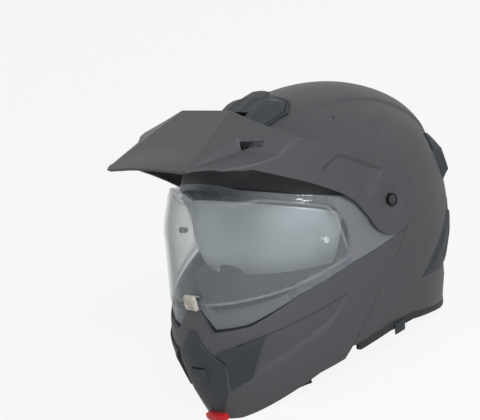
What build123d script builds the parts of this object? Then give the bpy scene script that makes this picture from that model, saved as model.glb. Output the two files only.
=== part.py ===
import os

from build123d import *

os.makedirs("parts", exist_ok=True)

# A modular road and trail helmet, standing on its chin bar and its nape.
# +Z is up, the face looks along -Y and the wearer's left is +X.
# All outlines are drawn about the main pivot axis, which lies along X.

# Driving sizes of the helmet, in millimetres
pivot_height = 157
half_width = 124.2
chin_reach = 188
brow_reach = 127
back_reach = 152
crown_rise = 110
shield_half_width = 125
shell_wall = 3.6
overrun = 20

# Layers at the pivot, counted outwards from the middle plane
pocket_floor = 118.3
arm_gap = 0.6
chin_arm_wall = 2.4
shield_hub_wall = 2.2
peak_arm_wall = 3.4
chin_arm_inner = pocket_floor + arm_gap
shield_hub_inner = chin_arm_inner + chin_arm_wall + arm_gap
peak_arm_inner = shield_half_width + arm_gap
peak_arm_outer = peak_arm_inner + peak_arm_wall

# The spoiler is the rearmost point, and the chin vent's slider the foremost one
spoiler_stand = 8
chin_stand = 1.2
chin_slider_gap = 0.3
chin_slider_wall = 2.4
chin_stack = chin_stand + chin_slider_gap + chin_slider_wall
pivot_setback = 0.5 * (chin_reach + chin_stack - back_reach - spoiler_stand)

# Radii about the pivot axis
bush_radius = 5.5
bore_clearance = 0.06
chin_hub_radius = 29
shield_hub_radius = 31
peak_hub_radius = 33
pocket_radius = 34.2
sweep_radius = 41

side_plane = Plane(origin=(0, pivot_setback, pivot_height), x_dir=(0, 1, 0), z_dir=(1, 0, 0))
front_plane = Plane(origin=(0, pivot_setback, pivot_height), x_dir=(1, 0, 0), z_dir=(0, -1, 0))
reach = 2 * chin_reach


def level(height):
    """Horizontal plane at a height above the pivot axis."""
    return Plane(origin=(0, pivot_setback, pivot_height + height))


def oval_form(shares, width, front, rear, up, down, grow):
    """Loft through ovals. Each row holds height, width, front and rear shares."""
    with BuildPart() as form:
        for height_share, width_share, front_share, rear_share in shares:
            rise = height_share * (up + grow if height_share > 0 else down)
            here = grow * width_share
            across = width * width_share + here
            with BuildSketch(level(rise)):
                with BuildLine():
                    EllipticalCenterArc(
                        (0, 0), across, front * front_share + here, start_angle=180, arc_size=180)
                    EllipticalCenterArc(
                        (0, 0), across, rear * rear_share + here, start_angle=0, arc_size=180)
                make_face()
        loft()
    return form.part


def side_points(shares, lift=0):
    """Points of a side view outline, from shares of the chin reach and the pivot height."""
    return [(chin_reach * along, pivot_height * rise + lift) for along, rise in shares]


def front_points(shares):
    """Points of a front view outline, from shares of the half width and the pivot height."""
    return [(half_width * across, pivot_height * rise) for across, rise in shares]


def top_points(shares):
    """Points of a top view outline, from shares of the half width and the chin reach."""
    return [(half_width * across, chin_reach * along) for across, along in shares]


def prism(plane, points, start, end):
    """Solid between two distances along a plane's normal, from a closed outline."""
    with BuildPart() as block:
        with BuildSketch(plane.offset(start)):
            with BuildLine():
                Polyline(*points, close=True)
            make_face()
        extrude(amount=end - start)
    return block.part


def disc(radius, start, end, across=0, up=0):
    """Round plate about an axis along X, at a place in the side view."""
    with BuildPart() as plate:
        with BuildSketch(side_plane.offset(start)):
            with Locations((across, up)):
                Circle(radius)
        extrude(amount=end - start)
    return plate.part


def layer(form, outer_grow, inner_grow, cutter):
    """Skin between two offsets of an oval form, kept where a cutter solid is."""
    with BuildPart() as skin:
        add(form(outer_grow))
        add(cutter, mode=Mode.INTERSECT)
        add(form(inner_grow), mode=Mode.SUBTRACT)
    return skin.part


def span(front, rear, low, high, start=-reach, end=reach):
    """Block between two side view corners and two distances along X."""
    return prism(side_plane, [(front, low), (rear, low), (rear, high), (front, high)], start, end)


def mirrored(points):
    """A half outline together with its mirror image across the middle plane."""
    return list(points) + [(-across, rise) for across, rise in reversed(points) if across != 0]


def shifted(points, along, rise):
    """An outline moved in its own plane."""
    return [(across + along, up + rise) for across, up in points]


def save(name, piece):
    """Label a finished piece and write it out."""
    piece.label = name
    export_step(piece, f"parts/{name}.step")


def save_pair(name, piece):
    """Write a left-hand piece and its mirror image."""
    other = mirror(piece, about=Plane.YZ)
    save(name + "_left", piece)
    save(name + "_right", other)


# Outer forms as rows of height, width, front and rear shares.
# Heights below the pivot are shares of its height, those above are shares of the rise.
body_shares = (
    (-1.08, 0.71, 0.96, 0.7), (-0.815, 0.87, 0.997, 0.737), (-0.637, 0.93, 1.0, 0.835),
    (-0.484, 0.966, 0.995, 0.94), (-0.255, 0.997, 0.91, 1.007), (0.0, 1.0, 0.83, 1.0),
    (0.259, 0.966, 0.77, 0.966))
shell_shares = (
    (-0.255, 0.997, 1.05, 1.007), (0.0, 1.0, 1.0, 1.0), (0.259, 0.966, 0.966, 0.966),
    (0.5, 0.866, 0.866, 0.866), (0.707, 0.707, 0.707, 0.707), (0.848, 0.53, 0.53, 0.53),
    (0.927, 0.375, 0.375, 0.375), (0.97, 0.242, 0.242, 0.242), (0.991, 0.134, 0.134, 0.134),
    (0.9986, 0.052, 0.052, 0.052))
shield_shares = (
    (-0.446, 0.99, 0.944, 1.0), (-0.382, 0.995, 0.9335, 1.0), (-0.255, 1.0, 0.9016, 1.0),
    (0.0, 1.0, 0.83, 1.0), (0.155, 1.0, 0.798, 1.0), (0.409, 0.975, 0.69, 1.0),
    (0.668, 0.935, 0.585, 1.0), (0.8, 0.91, 0.535, 1.0))
head_shares = (
    (-1.1, 0.9, 0.9, 0.74), (-0.637, 0.93, 0.96, 0.78), (-0.484, 0.96, 1.0, 0.9),
    (-0.255, 1.0, 1.0, 0.98), (0.0, 1.0, 1.0, 1.0), (0.259, 0.966, 0.966, 0.966),
    (0.5, 0.866, 0.866, 0.866), (0.707, 0.707, 0.707, 0.707), (0.848, 0.53, 0.53, 0.53),
    (0.927, 0.375, 0.375, 0.375), (0.97, 0.242, 0.242, 0.242), (0.991, 0.134, 0.134, 0.134),
    (0.9986, 0.052, 0.052, 0.052))

# Sun visor sizes, turning about an axis of its own
visor_half_width = 107
visor_radius = 106
visor_wall = 2
visor_along = -12
visor_up = -12
visor_pin_radius = 4
visor_foam = 8
visor_room_rear = 4
visor_room_low = -46

# Head space inside the foam
head_half_width = 90
head_front = 99
head_rear = 121
head_rise = 80


def body(grow):
    return oval_form(body_shares, half_width, chin_reach, back_reach, crown_rise, pivot_height, grow)


def shell_form(grow):
    return oval_form(
        shell_shares, half_width, brow_reach, back_reach, crown_rise, pivot_height, grow)


def shield_form(grow):
    return oval_form(
        shield_shares, shield_half_width, chin_reach, back_reach, crown_rise, pivot_height, grow)


def head(grow):
    return oval_form(
        head_shares, head_half_width, head_front, head_rear, head_rise, pivot_height, grow)


def visor_form(grow):
    """Solid of revolution about the sun visor axis."""
    centre = (0, pivot_setback + visor_along, pivot_height + visor_up)
    with BuildPart() as form:
        with BuildSketch(Plane(origin=centre, x_dir=(1, 0, 0), z_dir=(0, -1, 0))):
            with BuildLine():
                EllipticalCenterArc(
                    (0, 0), visor_half_width + grow, visor_radius + grow, start_angle=0, arc_size=180)
                Line((-visor_half_width - grow, 0), (visor_half_width + grow, 0))
            make_face()
        revolve(axis=Axis(centre, (1, 0, 0)))
    return form.part


# Side view outlines, as shares of chin reach and pivot height
seam_shares = (
    (0.074, -0.217), (-0.078, -0.389), (-0.207, -0.513), (-0.447, -0.825), (-0.564, -0.981))
floor_shares = (
    (-1.05, -1), (-0.915, -1), (-0.601, -0.873), (-0.372, -0.828), (-0.176, -0.812), (0, -0.831),
    (0.176, -0.892), (0.351, -0.962), (0.511, -1), (1.0, -1))
brow_shares = (
    (-0.76, 0.369), (-0.574, 0.369), (-0.457, 0.293), (-0.319, 0.178), (-0.213, 0.057), (-0.144, 0))
shield_lower_shares = (
    (0.059, -0.22), (-0.335, -0.252), (-0.612, -0.309), (-0.84, -0.401), (-1.1, -0.401))
shield_upper_shares = (
    (0, 0.166), (-0.207, 0.134), (-0.441, 0.264), (-0.59, 0.363), (-0.654, 0.475), (-1.1, 0.475))
panel_front_shares = (
    (-0.213, 0), (-0.229, -0.025), (-0.309, -0.299), (-0.511, -0.369), (-0.601, -0.548),
    (-0.574, -0.955))
insert_shares = ((-0.27, -0.35), (-0.45, -0.43), (-0.48, -0.66), (-0.42, -0.68), (-0.2, -0.4))
peak_lower_shares = (
    (-0.947, 0.67), (-0.915, 0.662), (-0.824, 0.627), (-0.723, 0.586), (-0.574, 0.446),
    (-0.404, 0.312), (-0.245, 0.146), (-0.191, 0.019), (-0.136, -0.089))
peak_rear_shares = ((0.043, 0.229), (-0.106, 0.35), (-0.255, 0.49), (-0.415, 0.631), (-0.468, 0.701))
chin_recess_shares = (
    (-0.798, -0.497), (-0.399, -0.427), (-0.378, -0.42), (-0.505, -0.58), (-0.851, -0.726))
neck_shares = ((-0.106, 0), (0.046, 0), (0.046, -0.24), (-0.035, -0.331), (-0.106, -0.331))
rear_vent_shares = ((0.596, -0.318), (0.106, -0.599), (0.372, -0.682), (0.564, -0.618))
visor_shares = (
    (-0.01, -0.13), (0, -0.05), (-0.05, 0.01), (-0.181, 0.089), (-0.372, 0.229), (-0.665, 0.318),
    (-0.665, -0.197), (-0.5, -0.229), (-0.33, -0.255), (-0.234, 0), (-0.12, -0.12))

lens_shares = (
    (-0.305, -0.216), (-0.612, -0.267), (-1.1, -0.267), (-1.1, 0.293), (-0.559, 0.293),
    (-0.479, 0.242), (-0.335, 0.14), (-0.309, 0.076))

# Front view outlines, as shares of half width and pivot height
notch_shares = ((0.073, -0.274), (0.218, -0.408), (0.218, -0.6))
chin_trim_shares = (
    (0.04, -0.389), (0.073, -0.42), (0.137, -0.484), (0.177, -0.522), (0.266, -0.599),
    (0.202, -0.815), (0.089, -0.93))
visor_nose_shares = ((0.25, -0.4), (0.2, -0.23), (0.11, -0.14))
chin_vent_shares = (
    (0.218, -0.529), (0.29, -0.605), (0.234, -0.79), (0.411, -0.732), (0.573, -0.478))
spoiler_shares = ((0.36, -0.013), (0.676, 0.146), (0.7, 0), (0.684, -0.2), (0.36, -0.165))
strap_shares = (
    (0.935, -0.4), (0.896, -0.605), (0.83, -0.752), (0.48, -0.879), (0.27, -0.93))

# Top view outlines, as shares of half width and chin reach
side_raise_shares = (
    (0.536, -0.207), (0.573, -0.021), (0.677, 0.117), (0.774, 0.255), (0.895, 0.032), (0.952, -0.16))
spine_shares = ((0.387, 0.027), (0.444, 0.08), (0.484, 0.239), (0.565, 0.479), (0.4, 0.55))
top_vent_shares = ((0.226, -0.447), (0.315, -0.266), (0.371, -0.133), (0.29, -0.064))
peak_shares = (
    (0, -0.947), (0.492, -0.915), (0.628, -0.827), (0.745, -0.723), (0.862, -0.577),
    (0.958, -0.407), (1.02, -0.245), (1.036, -0.17), (1.036, 0.25))
scoop_shares = ((0.58, -0.574), (0.8, -0.537), (0.79, -0.612), (0.74, -0.69))

seam = side_points(seam_shares)
floor_line = side_points(floor_shares)
brow = side_points(brow_shares)
below_floor = [(floor_line[0][0], -reach)] + floor_line + [(floor_line[-1][0], -reach)]
floor_block = prism(side_plane, below_floor, -reach, reach)
eye_cut = prism(
    side_plane, brow + [(0, 0), (0, -reach), (-reach, -reach), (-reach, brow[0][1])], -reach, reach)
upper_half = span(-reach, reach, 0, reach)
lower_half = span(-reach, reach, -reach, 0)

# Shell sizes
lip_width = 4
lip_depth = 13
raise_height = 1.3
cup_wall = 3.4
cup_radius = pocket_radius + cup_wall
cup_floor = pocket_floor - 3.5
trim_height = 8
trim_stand = 1.2
trim_depth = 6
seat = 0.3
vent_depth = 2.5
vent_stand = 0.8
rivet_radius = 2

# Chin strap sizes
strap_front = -9
strap_rear = 13
strap_wall = 1.3
strap_rivet_up = -70
strap_rivet_inner = 111.4
strap_rivet_outer = 119.5
rivet_head_radius = 4.5
rivet_head_wall = 1.2

# Pivot hardware, counted outwards from the pocket floor
screw_shaft_radius = 2.5
screw_head_radius = 7.3
screw_head_wall = 1.8
cap_radius = 5
cap_wall = 1
bush_end = peak_arm_outer + seat
head_end = bush_end + screw_head_wall

# Side mechanism panels
panel_outer = 10
panel_inner = 13
insert_stand = 1.5
striker_along = -103
striker_up = -108
striker_radius = 2.2
striker_inner = 79.5
striker_outer = 88
lever_along = -42
lever_up = -32
lever_inner = 111.2
lever_wall = 1.6
lever_boss_radius = 5
lever_tip_radius = 3
lever_tip_along = -52
lever_tip_up = -46
lever_pin_radius = 2
lever_pin_inner = 107

# Sun visor slider on the left edge
slider_front = -28
slider_rear = -15
slider_low = -134
slider_high = -122
slider_gap = 0.55
slider_stand = 3

# Rubber edge trim in three lengths, the shell ends where it begins
trim_line = floor_line[3:]
trim_band = prism(
    side_plane, trim_line + list(reversed(shifted(trim_line, 0, trim_height))), -reach, reach)
trim_joint = -11
joint_gap = 0.3
trim = layer(body, trim_stand, -trim_depth, trim_band)

with BuildPart() as edge_trim_rear:
    add(trim)
    add(span(trim_joint, reach, -reach, 0), mode=Mode.INTERSECT)
save("edge_trim_rear", edge_trim_rear.part)

with BuildPart() as edge_trim:
    add(trim)
    add(span(-reach, trim_joint - joint_gap, -reach, 0, 0, reach), mode=Mode.INTERSECT)
save_pair("edge_trim", edge_trim.part)

# Lower rear vent covers, let into the shell
with BuildPart() as rear_vent:
    add(layer(
        body, vent_stand, -vent_depth, prism(side_plane, side_points(rear_vent_shares), 0, reach)))
save_pair("rear_vent", rear_vent.part)

# Outer shell: crown and nape in one skin, with a deep lip along the chin bar seam
keep_outline = [(0, 0)] + seam + [(seam[-1][0], -reach), (reach, -reach), (reach, 0)]
lip_outline = [(lip_width, 0)] + shifted(seam, lip_width, 0)
lip_outline += [(seam[-1][0] + lip_width, -reach), (reach, -reach), (reach, 0)]
sector_angles = (-116, -57, 3, 62)
sector_outline = [(0, 0)]
for angle in sector_angles:
    ray = Vector(-2 * sweep_radius, 0).rotate(Axis.Z, -angle)
    sector_outline.append((ray.X, ray.Y))

with BuildPart() as rear_hollow:
    add(body(-shell_wall))
    add(prism(side_plane, lip_outline, -reach, reach), mode=Mode.INTERSECT)

with BuildPart() as rear_skin:
    add(body(0))
    add(prism(side_plane, keep_outline, -reach, reach), mode=Mode.INTERSECT)
    add(rear_hollow.part, mode=Mode.SUBTRACT)
    add(body(-lip_depth), mode=Mode.SUBTRACT)
    add(floor_block, mode=Mode.SUBTRACT)
    add(trim_band, mode=Mode.SUBTRACT)

side_field = layer(
    shell_form, raise_height, -shell_wall, prism(level(0), top_points(side_raise_shares), 0, reach))
spine_field = layer(
    shell_form, raise_height, -shell_wall,
    prism(level(0), mirrored(top_points(spine_shares)), 0, reach))

with BuildPart() as lower_form:
    add(body(0))
    add(lower_half, mode=Mode.INTERSECT)

with BuildPart() as pocket_cup:
    add(shell_form(0))
    add(upper_half, mode=Mode.INTERSECT)
    add(lower_form.part)
    add(disc(cup_radius, cup_floor, reach), mode=Mode.INTERSECT)

with BuildPart() as pocket_cut:
    add(disc(sweep_radius, pocket_floor, reach))
    add(prism(side_plane, sector_outline, 0, reach), mode=Mode.INTERSECT)
    add(disc(pocket_radius, pocket_floor, reach))

striker = disc(striker_radius, striker_inner, striker_outer, striker_along, striker_up)
strap_rivet = disc(rivet_radius, strap_rivet_inner, strap_rivet_outer, 0, strap_rivet_up)
pivot_shaft = disc(screw_shaft_radius, cup_floor, head_end)

with BuildPart() as outer_shell:
    add(shell_form(0))
    add(upper_half, mode=Mode.INTERSECT)
    add(shell_form(-shell_wall), mode=Mode.SUBTRACT)
    add(side_field)
    add(mirror(side_field, about=Plane.YZ, mode=Mode.PRIVATE))
    add(spine_field)
    add(eye_cut, mode=Mode.SUBTRACT)
    add(rear_skin.part)
    for piece in (pocket_cup.part, mirror(pocket_cup.part, about=Plane.YZ, mode=Mode.PRIVATE)):
        add(piece)
    for piece in (pocket_cut.part, rear_vent.part, strap_rivet, pivot_shaft):
        add(piece, mode=Mode.SUBTRACT)
        add(mirror(piece, about=Plane.YZ, mode=Mode.PRIVATE), mode=Mode.SUBTRACT)
save("outer_shell", outer_shell.part)

# Energy-absorbing foam: it fills the crown, and clears the sun visor in front.
# It comes in two mouldings, which meet at the height of the pivots.
skin_inset = shell_wall + seat
lip_inset = lip_depth + seat
foam_front = -30
foam_step = 24
foam_lift = 25
foam_floor = prism(
    side_plane, [(floor_line[0][0], -reach)] + shifted(floor_line, 0, foam_lift)
    + [(floor_line[-1][0], -reach)], -reach, reach)
visor_space = span(-reach, visor_room_rear, visor_room_low, reach)

with BuildPart() as visor_gap:
    add(visor_space)
    add(head(visor_foam), mode=Mode.SUBTRACT)

with BuildPart() as foam_rear:
    add(body(-skin_inset))
    add(span(foam_step, reach, -reach, 0), mode=Mode.INTERSECT)

with BuildPart() as foam_sides:
    add(body(-lip_inset))
    add(span(foam_front, foam_step, -reach, 0), mode=Mode.INTERSECT)

cup_room = disc(cup_radius + seat, cup_floor - seat, reach)

with BuildPart() as eps_liner:
    add(shell_form(-skin_inset))
    add(upper_half, mode=Mode.INTERSECT)
    add(eye_cut, mode=Mode.SUBTRACT)
    add(foam_rear.part)
    add(foam_sides.part)
    add(visor_gap.part, mode=Mode.SUBTRACT)
    add(foam_floor, mode=Mode.SUBTRACT)
    add(head(0), mode=Mode.SUBTRACT)
    add(cup_room, mode=Mode.SUBTRACT)
    add(mirror(cup_room, about=Plane.YZ, mode=Mode.PRIVATE), mode=Mode.SUBTRACT)

with BuildPart() as eps_crown:
    add(eps_liner.part)
    add(span(-reach, reach, 0.5 * seat, reach), mode=Mode.INTERSECT)
save("eps_crown", eps_crown.part)

with BuildPart() as eps_nape:
    add(eps_liner.part)
    add(span(-reach, reach, -reach, -0.5 * seat), mode=Mode.INTERSECT)
save("eps_nape", eps_nape.part)

# Crown pad, cheek pads and neck roll
pad_wall = 8
pad_low = 5
cheek_inner = 66
cheek_front = -98
cheek_rear = foam_front - seat
cheek_low = -118
cheek_high = -12
roll_front = 16
roll_inset = trim_depth + seat
roll_wall = 18
roll_low = 2

with BuildPart() as crown_pad:
    add(head(-seat))
    add(span(-reach, reach, pad_low, reach), mode=Mode.INTERSECT)
    add(head(-pad_wall), mode=Mode.SUBTRACT)
    add(eye_cut, mode=Mode.SUBTRACT)
save("crown_pad", crown_pad.part)

with BuildPart() as cheek_pad:
    add(body(-panel_inner - seat))
    add(span(cheek_front, cheek_rear, cheek_low, cheek_high, cheek_inner, reach), mode=Mode.INTERSECT)
    add(visor_gap.part, mode=Mode.SUBTRACT)
save_pair("cheek_pad", cheek_pad.part)

roll_line = floor_line[3:]
roll_band = prism(
    side_plane, shifted(roll_line, 0, roll_low)
    + list(reversed(shifted(roll_line, 0, foam_lift - seat))), -reach, reach)
with BuildPart() as neck_roll:
    add(layer(body, -roll_inset, -roll_inset - roll_wall, roll_band))
    add(span(roll_front, reach, -reach, 0), mode=Mode.INTERSECT)
save("neck_roll", neck_roll.part)

# Brow gasket along the upper edge of the eye port
gasket_drop = 3
gasket_forward = 1.5
gasket_room = 47
gasket_band = prism(
    side_plane, brow + list(reversed(shifted(brow, -gasket_forward, -gasket_drop))), -reach, reach)
gasket_end = disc(gasket_room, cup_floor - seat, reach)

with BuildPart() as brow_gasket:
    add(layer(shell_form, 0, -trim_depth, gasket_band))
    add(upper_half, mode=Mode.INTERSECT)
    for piece in (gasket_end, mirror(gasket_end, about=Plane.YZ, mode=Mode.PRIVATE)):
        add(piece, mode=Mode.SUBTRACT)
save("brow_gasket", brow_gasket.part)

# Side mechanism panels ahead of the seam, with inserts, striker pins and release levers
panel_outline = [(0, 0)] + seam[:-1] + list(reversed(side_points(panel_front_shares)))
lever_pin = disc(lever_pin_radius, lever_pin_inner, lever_inner + lever_wall, lever_along, lever_up)

with BuildPart() as side_panel:
    add(layer(body, -panel_outer, -panel_inner, prism(side_plane, panel_outline, 0, reach)))
    add(floor_block, mode=Mode.SUBTRACT)
    add(striker, mode=Mode.SUBTRACT)
    add(lever_pin, mode=Mode.SUBTRACT)
    add(disc(visor_pin_radius + bore_clearance, 0, reach, visor_along, visor_up), mode=Mode.SUBTRACT)
save_pair("side_panel", side_panel.part)

insert_prism = prism(side_plane, side_points(insert_shares), 0, reach)
with BuildPart() as insert_panel:
    add(layer(body, insert_stand - panel_outer, -panel_outer, insert_prism))
save_pair("insert_panel", insert_panel.part)

with BuildPart() as striker_pins:
    add(striker)
    add(mirror(striker, about=Plane.YZ, mode=Mode.PRIVATE))
save("striker_pins", striker_pins.part)

with BuildPart() as lever_pins:
    add(lever_pin)
    add(mirror(lever_pin, about=Plane.YZ, mode=Mode.PRIVATE))
save("lever_pins", lever_pins.part)

with BuildPart() as release_lever:
    with BuildSketch(side_plane.offset(lever_inner)):
        with Locations((lever_along, lever_up)):
            Circle(lever_boss_radius)
        with Locations((lever_tip_along, lever_tip_up)):
            Circle(lever_tip_radius)
        make_hull()
        with Locations((lever_along, lever_up)):
            Circle(lever_pin_radius + bore_clearance, mode=Mode.SUBTRACT)
    extrude(amount=lever_wall)
save_pair("release_lever", release_lever.part)

# Pivot bushes, screws and their caps, the same on both sides
bush = disc(bush_radius, pocket_floor, bush_end) - disc(
    screw_shaft_radius + bore_clearance, pocket_floor, bush_end)
with BuildPart() as pivot_bushes:
    add(bush)
    add(mirror(bush, about=Plane.YZ, mode=Mode.PRIVATE))
save("pivot_bushes", pivot_bushes.part)

screw = pivot_shaft + disc(screw_head_radius, bush_end, head_end)
with BuildPart() as pivot_screws:
    add(screw)
    add(mirror(screw, about=Plane.YZ, mode=Mode.PRIVATE))
save("pivot_screws", pivot_screws.part)

cap = disc(cap_radius, head_end, head_end + cap_wall)
with BuildPart() as pivot_caps:
    add(cap)
    add(mirror(cap, about=Plane.YZ, mode=Mode.PRIVATE))
save("pivot_caps", pivot_caps.part)

# Top vent cover with its slider, and the rear spoiler
vent_rise = 8
vent_slider_along = -62
vent_slider_up = 98.5
vent_slider_tilt = 25
vent_slider_half = 13
vent_slider_length = 12
vent_slider_travel = 6
vent_slider_wall = 3
vent_slider_stand = 1.6
vent_plane = Plane(
    origin=(0, pivot_setback + vent_slider_along, pivot_height + vent_slider_up),
    x_dir=(1, 0, 0), z_dir=Vector(0, 0, 1).rotate(Axis.X, vent_slider_tilt))
slot_gap = 0.25


def vent_block(half, front, rear, low, high):
    """Block in the plane of the top vent's slider."""
    with BuildPart() as block:
        with BuildSketch(vent_plane.offset(low)):
            with Locations((0, 0.5 * (front + rear))):
                Rectangle(2 * half, rear - front)
        extrude(amount=high - low)
    return block.part


slot_rear = vent_slider_length + vent_slider_travel + slot_gap
with BuildPart() as top_vent:
    add(layer(
        shell_form, vent_rise, 0, prism(level(0), mirrored(top_points(top_vent_shares)), 0, reach)))
    add(vent_block(
        vent_slider_half + slot_gap, -slot_gap, slot_rear, vent_slider_stand - vent_slider_wall - slot_gap,
        vent_rise + vent_slider_wall), mode=Mode.SUBTRACT)
save("top_vent", top_vent.part)

with BuildPart() as top_vent_slider:
    add(vent_block(
        vent_slider_half, 0, vent_slider_length, vent_slider_stand - vent_slider_wall, vent_slider_stand))
save("top_vent_slider", top_vent_slider.part)

with BuildPart() as rear_spoiler:
    add(layer(
        shell_form, spoiler_stand, 0, prism(front_plane, mirrored(front_points(spoiler_shares)), -reach, 0)))
    add(body(0), mode=Mode.SUBTRACT)
save("rear_spoiler", rear_spoiler.part)

# Sun visor, its pins and its slider
visor_outline = side_points(visor_shares)
visor_nose = mirrored(front_points(visor_nose_shares))
visor_pin_end = visor_half_width - visor_wall - slot_gap
visor_pin_head_radius = 6
visor_pin_head_wall = 1

with BuildPart() as sun_visor:
    add(visor_form(0))
    add(prism(side_plane, visor_outline, -reach, reach), mode=Mode.INTERSECT)
    add(visor_form(-visor_wall), mode=Mode.SUBTRACT)
    add(prism(front_plane, visor_nose, 0, reach), mode=Mode.SUBTRACT)
    for start, end in ((0, reach), (-reach, 0)):
        add(disc(visor_pin_radius + bore_clearance, start, end, visor_along, visor_up),
            mode=Mode.SUBTRACT)
save("sun_visor", sun_visor.part)

visor_pin = disc(visor_pin_radius, visor_pin_end, cup_floor, visor_along, visor_up) + disc(
    visor_pin_head_radius, visor_pin_end - visor_pin_head_wall, visor_pin_end, visor_along, visor_up)
with BuildPart() as sun_visor_pins:
    add(visor_pin)
    add(mirror(visor_pin, about=Plane.YZ, mode=Mode.PRIVATE))
save("sun_visor_pins", sun_visor_pins.part)

slider_block = span(slider_front, slider_rear, slider_low, slider_high, 0, reach)
slider_inner = trim_stand + slider_gap
with BuildPart() as sun_visor_slider:
    add(layer(body, slider_inner + slider_stand, slider_inner, slider_block))
save("sun_visor_slider", sun_visor_slider.part)

# Chin bar: front skin below the shield, with arms that reach up to the pivots
chin_wall = 4
seam_gap = 0.7
shield_gap = 0.9
hub_room = 38
chin_let_in = 2
recess_depth = 1.2
chin_top = shifted(side_points(shield_lower_shares), 0, -shield_gap)
chin_outline = chin_top + [(-reach, chin_top[-1][1]), (-reach, -pivot_height)]
chin_outline += [(seam[-1][0] - seam_gap, -pivot_height)]
chin_outline += list(reversed(shifted(seam, -seam_gap, 0)))
notch = mirrored(front_points(notch_shares))
nose = [
    (across - shield_gap if across > 0 else across + shield_gap, rise - shield_gap)
    for across, rise in notch]
arm_end = chin_arm_inner + chin_arm_wall
button_half = 13
button_low = -156.5
button_high = -150
button_gap = 0.3

chin_trim_piece = layer(
    body, chin_stand, -chin_let_in, prism(front_plane, mirrored(front_points(chin_trim_shares)), 0, reach))
chin_vent_piece = layer(
    body, vent_stand, -chin_let_in, prism(front_plane, front_points(chin_vent_shares), 0, reach))
recess_cut = layer(
    body, chin_stand, -recess_depth, prism(side_plane, side_points(chin_recess_shares), 0, reach))
hub_cut = disc(hub_room, arm_end, reach)
arm = disc(chin_hub_radius, chin_arm_inner, arm_end) + prism(
    side_plane, side_points(neck_shares), chin_arm_inner, arm_end)

with BuildPart() as chin_bar:
    add(layer(body, 0, -chin_wall, prism(side_plane, chin_outline, -reach, reach)))
    add(layer(body, 0, -chin_wall, prism(front_plane, nose, 0, reach)))
    add(floor_block, mode=Mode.SUBTRACT)
    for piece in (hub_cut, recess_cut, chin_vent_piece):
        add(piece, mode=Mode.SUBTRACT)
        add(mirror(piece, about=Plane.YZ, mode=Mode.PRIVATE), mode=Mode.SUBTRACT)
    add(chin_trim_piece, mode=Mode.SUBTRACT)
    add(arm)
    add(mirror(arm, about=Plane.YZ, mode=Mode.PRIVATE))
    add(disc(bush_radius + bore_clearance, -reach, reach), mode=Mode.SUBTRACT)
    add(span(
        -reach, 0, -reach, button_high + button_gap, -button_half - button_gap,
        button_half + button_gap), mode=Mode.SUBTRACT)
save("chin_bar", chin_bar.part)

with BuildPart() as chin_trim:
    add(chin_trim_piece)
save("chin_trim", chin_trim.part)

with BuildPart() as chin_vent:
    add(chin_vent_piece)
save_pair("chin_vent", chin_vent.part)

# Foam, breath guard, vent slider and release button of the chin bar
chin_foam_wall = 18
chin_foam_rear = -118
chin_foam_low = -145
chin_foam_high = -82
guard_inset = 9.5
guard_wall = 2
guard_high = -48
guard_rim_low = -80
guard_rim_high = -72
chin_slider_half = 11
chin_slider_low = -112
chin_slider_high = -99
button_depth = 20

with BuildPart() as chin_liner:
    add(layer(
        body, -chin_wall - seat, -chin_wall - chin_foam_wall,
        span(-reach, chin_foam_rear, chin_foam_low, chin_foam_high)))
save("chin_liner", chin_liner.part)

with BuildPart() as breath_guard:
    add(layer(
        body, -guard_inset, -guard_inset - guard_wall,
        span(-reach, chin_foam_rear, guard_rim_low, guard_high)))
    add(layer(
        body, -chin_wall, -guard_inset - guard_wall,
        span(-reach, chin_foam_rear, guard_rim_low, guard_rim_high)))
save("breath_guard", breath_guard.part)

with BuildPart() as chin_vent_slider:
    add(layer(
        body, chin_stack, chin_stand + chin_slider_gap,
        span(-reach, 0, chin_slider_low, chin_slider_high, -chin_slider_half, chin_slider_half)))
save("chin_vent_slider", chin_vent_slider.part)

with BuildPart() as release_button:
    add(layer(
        body, 0, -button_depth, span(-reach, 0, button_low, button_high, -button_half, button_half)))
save("release_button", release_button.part)

# Shield with its anti-fog lens, lens pins, latch and latch pin
arm_room_radius = chin_hub_radius + 0.5 * seat + arm_gap
lens_gap = 0.3
lens_wall = 1
lens_pin_along = -77
lens_pin_up = -8
lens_pin_radius = 1.5
lens_pin_head_radius = 3
lens_pin_inner = 102.2
lens_pin_head = 103.6
lens_pin_outer = 108
latch_half = 8
latch_low = -41.5
latch_pin_up = -31
latch_pin_reach = 168.6
latch_pin_radius = 1.1
latch_boss_radius = 1.75
lug_inner = 8.3
lug_outer = 11
lug_half = 3
latch_inner = 0.6
latch_outer = 3.2
pin_clearance = 0.05
shield_outline = side_points(shield_lower_shares) + list(reversed(side_points(shield_upper_shares)))
lens_pin = disc(lens_pin_radius, lens_pin_head, lens_pin_outer, lens_pin_along, lens_pin_up) + disc(
    lens_pin_head_radius, lens_pin_inner, lens_pin_head, lens_pin_along, lens_pin_up)
lens_hole = disc(lens_pin_radius + bore_clearance, 0, reach, lens_pin_along, lens_pin_up)
lug = layer(
    shield_form, latch_outer, -shield_hub_wall, span(
        -reach, 0, latch_pin_up - lug_half, latch_pin_up + lug_half, lug_inner, lug_outer))
hub = disc(shield_hub_radius, shield_hub_inner, shield_hub_inner + shield_hub_wall)
latch_bore = disc(
    latch_pin_radius + pin_clearance, -lug_outer, lug_outer, -latch_pin_reach, latch_pin_up)

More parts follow.
